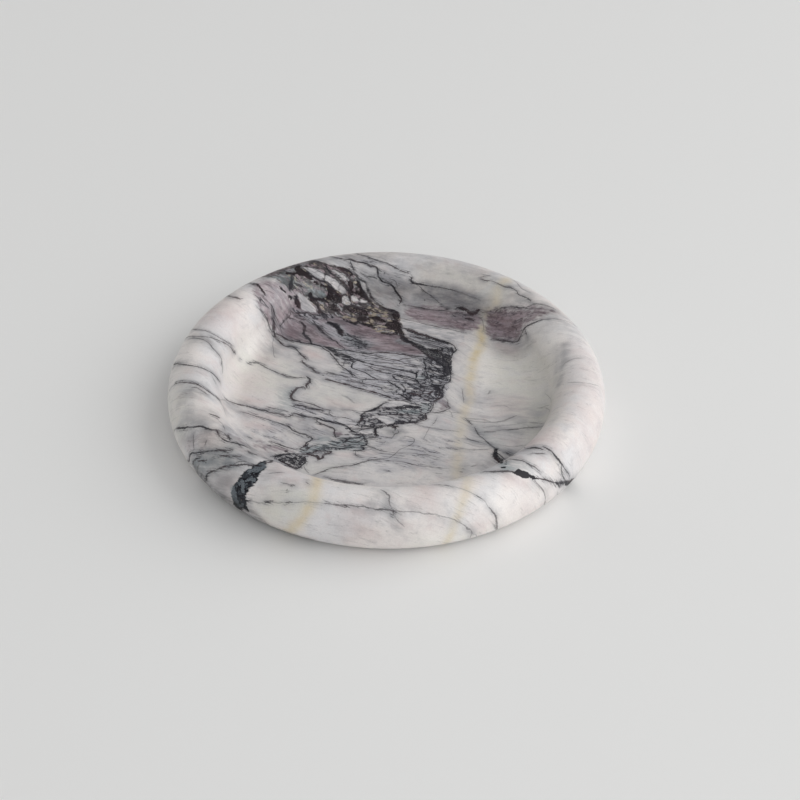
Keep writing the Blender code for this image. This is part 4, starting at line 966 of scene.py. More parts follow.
# Colours, as the eye reads them on a scale to 255
WARM_WHITE = (232, 226, 223)
COOL_WHITE = (222, 220, 221)
DISH_WHITE = (214, 210, 208)
DISH_GREY = (192, 189, 190)
CREAM = (214, 213, 203)
CLOUD_GREY = (180, 178, 181)
STREAK_GREY = (150, 147, 151)
MAUVE = (142, 124, 131)
MAUVE_DEEP = (98, 80, 87)
MAUVE_PALE = (160, 148, 156)
ROSE = (184, 170, 174)
BROWN_BLACK = (42, 35, 38)
BROWN_MID = (92, 80, 82)
CHIP_GREY = (152, 152, 156)
BLUE_BLACK = (30, 29, 35)
DARK_TEAL = (62, 66, 72)
BLUE_GREY = (112, 119, 125)
BUNDLE_GREY = (186, 185, 191)
NET_GREY = (150, 151, 157)
HAZE_AND_SHADE_GREY = (136, 137, 142)
TEAL_GREY = (142, 152, 155)
PINK = (206, 186, 184)
OCHRE = (216, 200, 164)
PALE = (216, 212, 212)
FLECK = (184, 172, 152)
INK = (42, 41, 47)
INK_BROWN = (66, 55, 58)
HAIRLINE = (52, 50, 56)
FELT_DARK = (150, 143, 134)
FELT_LIGHT = (178, 171, 161)
# Painted light: the pale tone that the light patches lay on the stone
PAINTED_LIGHT = (246, 242, 238)
FLOOR_TONE = (238, 238, 237)

# Direction in which the stone's fine lines run where no vein leads them, from the x axis, and the grid, in
# millimetres, on which the flow of the veins is worked out
FLOW_TURN = math.radians(-24)
FLOW_COUNT = 128
FLOW_STEP = 2.8
FLOW_BLUR = 5.5
FLOW_PRIOR = 0.06

# How far inside the grid's last point a place is kept
GRID_EDGE = 0.001

# Noises of the marble: how long their swells are in millimetres, detail, roughness and where they start
NOISES = {
    "patch": (26, 3.0, 0.55, (2, 0, 5)),
    "mottle": (9, 5.0, 0.62, (4, 8, 1)),
    "blotch": (2.7, 5.0, 0.7),
    "swell": (2.7, 4.0, 0.66, (9, 1, 1)),
    "pits": (1.9, 3.0, 0.6, (6, 1, 3)),
    "ragged": (0.9, 4.0, 0.65),
    "speck": (0.75, 2.0, 0.6, (5, 2, 7)),
    "grain": (0.75, 2.0, 0.55),
}

# Noises drawn out along the flow: which of its places they are taken at, length and breadth in millimetres,
# detail, roughness and where they start
STREAKS = {
    "slow": ("soft", (34, 16), 3.0, 0.55, (0, 0, 0)),
    "cloud": ("soft", (15, 6), 5.0, 0.6, (9, 4, 0)),
    "gaps": ("soft", (13, 4), 3.0, 0.5, (5, 8, 0)),
    "wisp": ("rough", (11, 2.2), 5.0, 0.65, (2, 7, 0)),
    "breaks": ("rough", (6, 3), 4.0, 0.6, (8, 8, 0)),
    "edge": ("rough", (5.0, 1.9), 4.0, 0.62, (0, 0, 0)),
}

# Fine lines: length and breadth of their noise, where it starts, how wide the lines are in it, and how
# crowded the lines must be for the first and for all of them to show
HAIRLINES = (
    ((42, 4.0), (4, 2, 0), 0.024, -1.0, 0.0),
    ((34, 3.0), (1, 9, 0), 0.036, 0.25, 0.6),
    ((22, 2.4), (6, 3, 0), 0.034, 0.7, 1.3),
)

# Patches of the ground in the order in which they are laid: the mask, the noise in it, the range of that
# noise, how much of the tone this range stands for, and the tone
GROUND_PATCHES = (
    # The light patch is painted light
    ("light", "mottle", 0.3, 0.6, 0.6, 1.0, PAINTED_LIGHT),
    ("cream", "cloud", 0.7, 0.35, 0.35, 0.8, CREAM),
    ("pink", "cloud", 0.25, 0.6, 0.5, 1.0, PINK),
    # The haze patch is partly a grey veil and partly painted shade
    ("haze_and_shade", "cloud", 0.3, 0.62, 0.35, 1.0, HAZE_AND_SHADE_GREY),
    ("ochre", "mottle", 0.35, 0.6, 0.55, 0.95, OCHRE),
)

# Tones of the breccia's chips, and the range of a chip's random number over which each comes in
CHIP_TONES = (
    (0.36, 0.4, BROWN_MID),
    (0.48, 0.52, MAUVE),
    (0.7, 0.74, CHIP_GREY),
    (0.9, 0.92, FLECK),
)

# How rough the stone is at least and at most, how it shines where it is pale and where it is dark, and the
# same for the floor
STONE_ROUGHNESS = (0.42, 0.54)
STONE_SHINE = (0.5, 0.12)
FLOOR_ROUGHNESS = 0.8
FLOOR_SHINE = 0.2

# Felt: how many pads, breadth and length of the fibres in millimetres, and how rough and soft it looks
PAD_COUNT = 4
FIBRE_SIZES = (0.35, 1.6)
FELT_ROUGHNESS = 0.95
FELT_SHEEN = 0.3

# Camera: lens and sensor in millimetres, place in metres, and how it is turned
CAMERA_LENS = 108
CAMERA_SENSOR = 36
CAMERA_PLACE = (0.007695, -1.079643, 0.869819)
CAMERA_DIP = math.radians(38.46)
CAMERA_ROLL = math.radians(1.039)

# Light and floor: places and sizes in metres, and the lamps' power in watts
WORLD_STRENGTH = 0.37
WORLD_TILT = 0.26
WORLD_TOWARDS = (0.85, -0.45, 0.25)
LAMPS = (
    ("key", (2.2, 0.45, 1.8), 3.0, 36),
    ("fill", (1.3, -1.95, 1.2), 2.8, 26),
    ("edge", (-2.1, 1.0, 1.0), 2.4, 11),
)
FLOOR_SIZE = 8.0


def linear(tone):
    """A colour on the eye's scale to 255, as the light values that a shader works with."""
    return tuple(((c / 255 + 0.055) / 1.055) ** 2.4 if c > 10 else c / 255 / 12.92 for c in tone) + (1.0,)


def ellipse_point(angle):
    """The point (radius, height) of the rim's ellipse at an angle."""
    return np.array((RIM_CENTRE[0] + RIM_HALF_SIZES[0] * math.cos(angle),
                     RIM_CENTRE[1] + RIM_HALF_SIZES[1] * math.sin(angle)))


def ellipse_normal(angle):
    """The ellipse's outward direction there, of length 1."""
    normal = np.array((math.cos(angle) / RIM_HALF_SIZES[0], math.sin(angle) / RIM_HALF_SIZES[1]))
    return normal / np.linalg.norm(normal)


def touching_angle(low, high, radius, plane):
    """The angle of the rim's ellipse where a circle touches it and also stands on a level plane."""
    for _ in range(HALVINGS):
        middle = (low + high) / 2
        centre = ellipse_point(middle) + radius * ellipse_normal(middle)
        if centre[1] < plane + abs(radius):
            low = middle
        else:
            high = middle
    return (low + high) / 2


def facing(normal):
    """A direction in the section, as its angle from straight outwards."""
    return math.atan2(normal[1], normal[0])


def circle_arc(centre, radius, start, stop):
    """Close points along a circle between two angles."""
    steps = max(2, int(abs(stop - start) * radius / SECTION_STEP))
    angles = np.linspace(start, stop, steps + 1)
    return np.stack((centre[0] + radius * np.cos(angles), centre[1] + radius * np.sin(angles)), axis=1)


def stone_section():
    """Close points (radius, height above the base) from the dish's middle over the rim to the foot's end."""
    cove_touch = touching_angle(math.pi, math.pi / 2, COVE_RADIUS, FLOOR_HEIGHT)
    foot_touch = touching_angle(-math.pi / 2, 0, -FOOT_RADIUS, 0)
    cove_centre = ellipse_point(cove_touch) + COVE_RADIUS * ellipse_normal(cove_touch)
    foot_centre = ellipse_point(foot_touch) - FOOT_RADIUS * ellipse_normal(foot_touch)
    floor_radii = np.arange(0, cove_centre[0], SECTION_STEP)
    floor = np.stack((floor_radii, np.full(len(floor_radii), FLOOR_HEIGHT)), axis=1)
    cove = circle_arc(cove_centre, COVE_RADIUS, -math.pi / 2, facing(-ellipse_normal(cove_touch)))
    rim = np.array([ellipse_point(angle) for angle in np.linspace(cove_touch, foot_touch, RIM_STEPS)])
    foot = circle_arc(foot_centre, FOOT_RADIUS, facing(ellipse_normal(foot_touch)), -math.pi / 2)
    return np.concatenate((floor, cove, rim[1:], foot[1:]))


SECTION = stone_section()
SECTION_WAY = np.concatenate(([0.0], np.cumsum(np.hypot(*np.diff(SECTION, axis=0).T))))
WAY_END = SECTION_WAY[-1]
BASE_RADIUS = SECTION[-1][0]
EQUATOR_WAY = SECTION_WAY[np.argmax(SECTION[:, 0])]


def on_stone(points):
    """Points of the map, as places on the stone in millimetres."""
    way = np.hypot(points[:, 0], points[:, 1])
    radius = np.interp(way, SECTION_WAY, SECTION[:, 0])
    height = np.interp(way, SECTION_WAY, SECTION[:, 1])
    share = radius / np.maximum(way, LEAST_WAY)
    return np.stack((points[:, 0] * share, points[:, 1] * share, height), axis=1)


def ring_rows():
    """Each ring of the mesh: its way from the dish's middle, radius, height, and its corners' distance."""
    rows = []
    count = round(WAY_END / (TOP_SPACING * ROW_SHARE))
    for way in np.linspace(0, WAY_END, count + 1):
        radius = float(np.interp(way, SECTION_WAY, SECTION[:, 0]))
        height = float(np.interp(way, SECTION_WAY, SECTION[:, 1]))
        rows.append((float(way), radius, height, TOP_SPACING))
    under = round(BASE_RADIUS / (UNDER_SPACING * ROW_SHARE))
    for radius in np.linspace(BASE_RADIUS, 0, under + 1)[1:]:
        rows.append((WAY_END + BASE_RADIUS - float(radius), float(radius), 0.0, UNDER_SPACING))
    return rows


def zipped(first, second, first_count, second_count):
    """Triangles between two rings of corners, given where each ring starts and how many corners it has."""
    if first_count == 1:
        return [(first, second + j, second + (j + 1) % second_count) for j in range(second_count)]
    if second_count == 1:
        return [(first + i, second, first + (i + 1) % first_count) for i in range(first_count)]
    triangles = []
    i = 0
    j = 0
    while i < first_count or j < second_count:
        a = first + i % first_count
        b = second + j % second_count
        if j >= second_count or (i < first_count and (i + 1) * second_count <= (j + 1) * first_count):
            triangles.append((a, b, first + (i + 1) % first_count))
            i += 1
        else:
            triangles.append((a, b, second + (j + 1) % second_count))
            j += 1
    return triangles


def stone_mesh():
    """The stone's corners in millimetres, its triangles, and each corner's way from the dish's middle."""
    corners = []
    ways = []
    starts = []
    counts = []
    for number, (way, radius, height, spacing) in enumerate(ring_rows()):
        count = max(LEAST_CORNERS, round(math.tau * radius / spacing)) if radius > 0 else 1
        starts.append(len(corners))
        counts.append(count)
        shift = 0.5 * (number % 2)
        for step in range(count):
            turn = math.tau * (step + shift) / count
            corners.append((radius * math.cos(turn), radius * math.sin(turn), height))
            ways.append(way)
    triangles = []
    for k in range(len(starts) - 1):
        triangles += zipped(starts[k], starts[k + 1], counts[k], counts[k + 1])
    return np.array(corners), np.array(triangles), np.array(ways)


def smoothed(points, step):
    """A curve through the points, with a new point about every step."""
    padded = np.concatenate(([2 * points[0] - points[1]], points, [2 * points[-1] - points[-2]]))
    parts = []
    for k in range(1, len(padded) - 2):
        before, start, stop, after = padded[k - 1:k + 3]
        count = max(2, int(np.linalg.norm(stop - start) / step))
        t = (np.arange(count) / count)[:, None]
        bend = (2 * before - 5 * start + 4 * stop - after) * t ** 2
        twist = (3 * start - before - 3 * stop + after) * t ** 3
        parts.append(0.5 * (2 * start + (stop - before) * t + bend + twist))
    parts.append(padded[-2][None])
    return np.concatenate(parts)


def swing(points, length, seed):
    """A smooth random number between about -1 and 1 for each point, changing over a length."""
    values = [noise.noise(Vector((x / length, y / length, seed))) for x, y in points]
    return np.array(values) * SWING_SCALE


def drawn(vein):
    """A vein's line over the map, with its half width at each point."""
    width = vein[0] * WIDTH_SCALE - WIDTH_LESS
    raw = np.array(vein[2:], float).reshape(-1, 2)
    line = smoothed(raw, TRAIL_STEP)
    line = line + WOBBLE * np.stack([swing(line, WOBBLE_LENGTH, seed) for seed in WOBBLE_SEEDS], axis=1)
    way = np.concatenate(([0.0], np.cumsum(np.hypot(*np.diff(line, axis=0).T))))
    to_end = np.minimum(way, way[-1] - way) / min(TAPER_LENGTH, way[-1] / 2 + LEAST_TAPER)
    taper = TAPER_SHARE + (1 - TAPER_SHARE) * np.clip(to_end, 0, 1)
    half = width / 2 * taper * (1 + WIDTH_SWING * swing(line, WIDTH_LENGTH, WIDTH_SEED))
    return line, np.maximum(half, THINNEST_HALF)


def all_lines():
    """Every vein as points on the stone, half widths and darkness, and those of the dish also on the base."""
    lines = []
    for vein in DARK_VEINS + BROWN_VEINS:
        line, half = drawn(vein)
        lines.append((on_stone(line), half, vein[1]))
        inside = np.hypot(line[:, 0], line[:, 1]) < UNDER_LIMIT
        if inside.all():
            below = on_stone(line)
            below[:, 2] = 0
            lines.append((below, half, vein[1]))
    return lines


def in_layers(lines):
    """The veins' numbers, sorted into layers so that no two of a layer come near each other."""
    boxes = np.array([np.concatenate((p.min(0), p.max(0))) for p, _, _ in lines])
    reach = np.array([h.max() for _, h, _ in lines]) + FADE_REACH + TOP_SPACING
    order = sorted(range(len(lines)), key=lambda k: -len(lines[k][0]))
    layers = []
    for k in order:
        points = lines[k][0][::POINT_STRIDE]
        for layer in layers:
            if not any(too_near(points, k, other, lines, boxes, reach) for other in layer):
                layer.append(k)
                break
        else:
            layers.append([k])
    return layers


def too_near(points, k, other, lines, boxes, reach):
    """Whether a vein's points come so near to another vein that the two can't share a layer."""
    gap = 2 * max(reach[k], reach[other])
    if (boxes[k][:3] - gap > boxes[other][3:]).any() or (boxes[other][:3] - gap > boxes[k][3:]).any():
        return False
    others = lines[other][0][::POINT_STRIDE]
    return ((points[:, None] - others[None]) ** 2).sum(-1).min() < gap * gap


def nearest(corners, lines, layer):
    """For each corner: the way and distance from a layer's nearest vein, and that vein's half width and
    darkness there."""
    starts = np.concatenate([lines[k][0][:-1] for k in layer])
    stops = np.concatenate([lines[k][0][1:] for k in layer])
    first = np.concatenate([lines[k][1][:-1] for k in layer])
    last = np.concatenate([lines[k][1][1:] for k in layer])
    dark = np.concatenate([np.full(len(lines[k][0]) - 1, lines[k][2]) for k in layer])
    ends = np.concatenate([np.r_[np.zeros(len(lines[k][0]) - 2), 1] for k in layer]).astype(bool)
    begins = np.r_[True, ends[:-1]]
    tree = KDTree(len(starts))
    for k, point in enumerate((starts + stops) / 2):
        tree.insert(point, k)
    tree.balance()
    found = np.array([tree.find(corner)[1] for corner in corners])
    best = np.full(len(corners), np.inf)
    offset = np.zeros((len(corners), 3))
    half = np.ones(len(corners))
    for shift in (0, -1, 1):
        pick = found + shift
        if shift == -1:
            pick = np.where(begins[found], found, pick)
        if shift == 1:
            pick = np.where(ends[found], found, pick)
        a = starts[pick]
        along = stops[pick] - a
        share = ((corners - a) * along).sum(1) / np.maximum((along ** 2).sum(1), TINY)
        share = np.clip(share, 0, 1)
        way = corners - a - along * share[:, None]
        distance = np.sqrt((way ** 2).sum(1))
        better = distance < best
        best = np.where(better, distance, best)
        offset = np.where(better[:, None], way, offset)
        half = np.where(better, first[pick] + (last[pick] - first[pick]) * share, half)
    return offset, best, half, dark[found]


def flow_angle():
    """On a grid over the map, the direction in which the veins run, led over smoothly between them."""
    double = np.zeros((FLOW_COUNT, FLOW_COUNT), complex)
    for vein in DARK_VEINS + BROWN_VEINS:
        line = smoothed(np.array(vein[2:], float).reshape(-1, 2), 2 * TRAIL_STEP)
        middle = (line[1:] + line[:-1]) / 2
        along = (line[1:] - line[:-1]) @ (1, 1j)
        length = np.maximum(np.abs(along), TINY)
        cell = np.clip((middle / FLOW_STEP + FLOW_COUNT / 2).astype(int), 0, FLOW_COUNT - 1)
        np.add.at(double, (cell[:, 1], cell[:, 0]), (along / length) ** 2 * length * vein[1])
    turns = np.fft.fftfreq(FLOW_COUNT) * math.tau / FLOW_STEP
    blur = np.exp(-(turns[:, None] ** 2 + turns[None] ** 2) * FLOW_BLUR ** 2 / 2)
    double = np.fft.ifft2(np.fft.fft2(double) * blur) + FLOW_PRIOR * np.exp(2j * FLOW_TURN)
    return FLOW_TURN + np.angle(double * np.exp(-2j * FLOW_TURN)) / 2


def climbing(across, up):
    """The smooth height on the grid whose slope comes nearest to the given one."""
    mean_across, mean_up = across.mean(), up.mean()
    across = np.concatenate((across - mean_across, (mean_across - across)[:, ::-1]), axis=1)
    across = np.concatenate((across, across[::-1]))
    up = np.concatenate((up - mean_up, (mean_up - up)[::-1]))
    up = np.concatenate((up, up[:, ::-1]), axis=1)
    turns = np.fft.fftfreq(2 * FLOW_COUNT) * math.tau / FLOW_STEP
    square = turns[:, None] ** 2 + turns[None] ** 2
    square[0, 0] = 1
    slope = np.fft.fft2(across) * turns[None] + np.fft.fft2(up) * turns[:, None]
    height = np.fft.ifft2(-1j * slope / square).real[:FLOW_COUNT, :FLOW_COUNT]
    place = (np.arange(FLOW_COUNT) + 0.5 - FLOW_COUNT / 2) * FLOW_STEP
    return height + mean_across * place[None] + mean_up * place[:, None]


def on_grid(grid, points):
    """The grid's value at each point of the map."""
    spot = np.clip(points / FLOW_STEP + FLOW_COUNT / 2 - 0.5, 0, FLOW_COUNT - 1 - GRID_EDGE)
    low = spot.astype(int)
    share = spot - low
    column, row = low[:, 0], low[:, 1]
    near = grid[row, column] * (1 - share[:, 0]) + grid[row, column + 1] * share[:, 0]
    far = grid[row + 1, column] * (1 - share[:, 0]) + grid[row + 1, column + 1] * share[:, 0]
    return near * (1 - share[:, 1]) + far * share[:, 1]


def flow_places(points):
    """For each point of the map, how far it lies along the veins' flow and how far across it."""
    angle = flow_angle()
    along = climbing(np.cos(angle), np.sin(angle))
    across = climbing(-np.sin(angle), np.cos(angle))
    return np.column_stack((on_grid(along, points), on_grid(across, points), np.zeros(len(points))))


def area_share(points, spec):
    """How much of an area of colour lies on each point of the map."""
    strength, soft = spec[0], spec[1]
    ring = np.array(spec[2:], float).reshape(-1, 2)
    value = np.zeros(len(points))
    near = ((points > ring.min(0) - soft) & (points < ring.max(0) + soft)).all(1)
    spots = points[near]
    if len(spots) == 0:
        return value
    inside = np.zeros(len(spots), bool)
    distance = np.full(len(spots), np.inf)
    for a, b in zip(ring, np.roll(ring, -1, axis=0)):
        crosses = (a[1] > spots[:, 1]) != (b[1] > spots[:, 1])
        height = b[1] - a[1] if b[1] != a[1] else TINY
        inside ^= crosses & (spots[:, 0] < (b[0] - a[0]) * (spots[:, 1] - a[1]) / height + a[0])
        distance = np.minimum(distance, segment_distance(spots, a, b))
    signed = np.where(inside, distance, -distance)
    t = np.clip(0.5 + signed / (2 * soft), 0, 1)
    value[near] = strength * t * t * (3 - 2 * t)
    return value


def segment_distance(spots, a, b):
    """How far each point lies from the straight line between two points."""
    along = b - a
    share = np.clip(((spots - a) * along).sum(1) / max((along ** 2).sum(), TINY), 0, 1)
    return np.sqrt(((spots - a - along * share[:, None]) ** 2).sum(1))


def trail_share(points, spec):
    """How much of a trail of colour lies on each point of the map."""
    strength, reach = spec[0], spec[1]
    line = np.array(spec[2:], float).reshape(-1, 2)
    distance = np.full(len(points), np.inf)
    for a, b in zip(line, line[1:]):
        distance = np.minimum(distance, segment_distance(points, a, b))
    return strength * np.exp(-(distance / reach) ** 2)


def painted(points):
    """Each mask's value on each point of the map."""
    values = {}
    for name in MASKS:
        value = np.zeros(len(points))
        for spec in AREAS.get(name, ()):
            value = np.maximum(value, area_share(points, spec))
        for spec in TRAILS.get(name, ()):
            value = np.maximum(value, trail_share(points, spec))
        values[name] = value
    return values


def carry(mesh, name, values, kind="FLOAT", field="value"):
    """Lets the mesh carry a value for each corner under a name."""
    attribute = mesh.attributes.new(name, kind, "POINT")
    attribute.data.foreach_set(field, values.astype(np.float32).ravel())


def bake_layout(mesh, corners, triangles, ways):
    """Flattens the stone as two discs, the seen side and the underside, into one square."""
    total = WAY_END + BASE_RADIUS
    top_size = EQUATOR_WAY + LAYOUT_GAP
    under_size = (total - EQUATOR_WAY + LAYOUT_GAP) * UNDER_SCALE
    side = (top_size + under_size) * (1 + 1 / math.sqrt(2))
    turn = np.arctan2(corners[:, 1], corners[:, 0])
    direction = np.stack((np.cos(turn), np.sin(turn)), axis=1)
    top = (top_size + direction * ways[:, None]) / side
    under = 1 - (under_size + direction * ((total - ways) * UNDER_SCALE)[:, None] * (1, -1)) / side
    upper = (ways[triangles].max(axis=1) <= EQUATOR_WAY + TOP_SPACING)[:, None, None]
    uv = np.where(upper, top[triangles], under[triangles])
    layer = mesh.uv_layers.new(name="OFBake")
    layer.data.foreach_set("uv", uv.astype(np.float32).ravel())


def stone_piece():
    """The tray's stone as a dense mesh that carries its veins and colours."""
    corners, triangles, ways = stone_mesh()
    mesh = bpy.data.meshes.new("tray_stone")
    mesh.from_pydata(((corners + (0, 0, BASE_Z)) * MM).tolist(), [], triangles.tolist())
    mesh.shade_smooth()
    lines = all_lines()
    layers = in_layers(lines)
    halo = np.zeros(len(corners))
    for number, layer in enumerate(layers):
        offset, distance, half, dark = nearest(corners, lines, layer)
        fade = 1 - np.clip((distance - half - SOLID_REACH) / (FADE_REACH - SOLID_REACH), 0, 1)
        vein = np.column_stack((offset / half[:, None], dark * fade))
        carry(mesh, f"veins_{number}", vein, "FLOAT_COLOR", "color")
        halo = np.maximum(halo, dark * np.exp(-(distance / (half + HALO_REACH)) ** 2))
    carry(mesh, "halo", halo)
    turn = np.arctan2(corners[:, 1], corners[:, 0])
    plan = np.hypot(corners[:, 0], corners[:, 1])
    inner = SECTION_WAY[:np.argmax(SECTION[:, 1]) + 1]
    under_way = np.interp(plan, SECTION[:len(inner), 0], inner)
    way = np.where(ways > WAY_END, under_way, ways)
    flat = np.stack((way * np.cos(turn), way * np.sin(turn)), axis=1)
    for name, values in painted(flat).items():
        carry(mesh, name, values)
    carry(mesh, "flow", flow_places(flat), "FLOAT_VECTOR", "vector")
    bake_layout(mesh, corners, triangles, ways)
    piece = bpy.data.objects.new("tray_stone", mesh)
    bpy.context.scene.collection.objects.link(piece)
    mesh.materials.append(Marble(len(layers)).material)
    return piece


class Nodes:
    """Short calls for building a material's nodes."""

    def __init__(self, name):
        self.material = bpy.data.materials.new(name)
        self.material.use_nodes = True
        self.tree = self.material.node_tree
        self.shader = self.tree.nodes["Principled BSDF"]
        self.place = self.add("ShaderNodeTexCoord").outputs["Object"]

    def add(self, kind, inputs=None, **settings):
        """A new node with its inputs, linked or set, and its settings."""
        node = self.tree.nodes.new(kind)
        for name, value in settings.items():
            setattr(node, name, value)
        for name, value in (inputs or {}).items():
            self.put(node.inputs[name], value)
        return node

    def put(self, socket, value):
        """Links another node's output to the socket, or sets the socket to a value."""
        if isinstance(value, bpy.types.NodeSocket):
            self.tree.links.new(value, socket)
        else:
            socket.default_value = value

    def math(self, operation, *values):
        """One operation on numbers, by its name."""
        node = self.add("ShaderNodeMath", operation=operation)
        for socket, value in zip(node.inputs, values):
            self.put(socket, value)
        return node.outputs[0]

    def vector(self, operation, *values):
        """One operation on places or directions, by its name."""
        node = self.add("ShaderNodeVectorMath", operation=operation)
        for socket, value in zip(node.inputs, values):
            self.put(socket, value)
        return node.outputs[0]

    def times(self, *values):
        """The product of all the values."""
        product = values[0]
        for value in values[1:]:
            product = self.math("MULTIPLY", product, value)
        return product

    def most(self, *values):
        """The largest of the values."""
        found = values[0]
        for value in values[1:]:
            found = self.math("MAXIMUM", found, value)
        return found

    def swung(self, value, texture, size):
        """A value that a noise moves up and down."""
        return self.math("MULTIPLY_ADD", self.math("SUBTRACT", texture, 0.5), size, value)

    def ramp(self, value, low, high, bottom=0.0, top=1.0):
        """Carries low..high over to bottom..top, softly and without going past them."""
        inputs = {"Value": value, "From Min": low, "From Max": high, "To Min": bottom, "To Max": top}
        return self.add("ShaderNodeMapRange", inputs, interpolation_type="SMOOTHSTEP").outputs["Result"]

    def mix(self, share, first, second, blend="MIX"):
        """The first colour with a share of the second one laid over it."""
        node = self.add("ShaderNodeMix", data_type="RGBA", blend_type=blend)
        for socket, value in ((node.inputs[0], share), (node.inputs[6], first), (node.inputs[7], second)):
            self.put(socket, linear(value) if isinstance(value, tuple) else value)
        return node.outputs[2]

    def stretched(self, lengths, turn, start):
        """The place on the piece, turned and measured in the given lengths, in millimetres."""
        scale = tuple(length * MM for length in lengths)
        inputs = {"Vector": self.place, "Location": start, "Rotation": (0, 0, turn), "Scale": scale}
        return self.add("ShaderNodeMapping", inputs, vector_type="TEXTURE").outputs["Vector"]

    def noise(self, lengths, detail, rough, start=(0, 0, 0), turn=0.0, warp=0.0):
        """A noise with swells of the given lengths, in millimetres."""
        place = self.stretched(lengths, turn, start)
        inputs = {"Vector": place, "Scale": 1.0, "Detail": detail, "Roughness": rough, "Distortion": warp}
        return self.add("ShaderNodeTexNoise", inputs).outputs["Fac"]

    def bump(self, strength, distance, height):
        """A faint relief on the surface."""
        relief = self.add("ShaderNodeBump", {"Strength": strength, "Distance": distance, "Height": height})
        self.put(self.shader.inputs["Normal"], relief.outputs["Normal"])


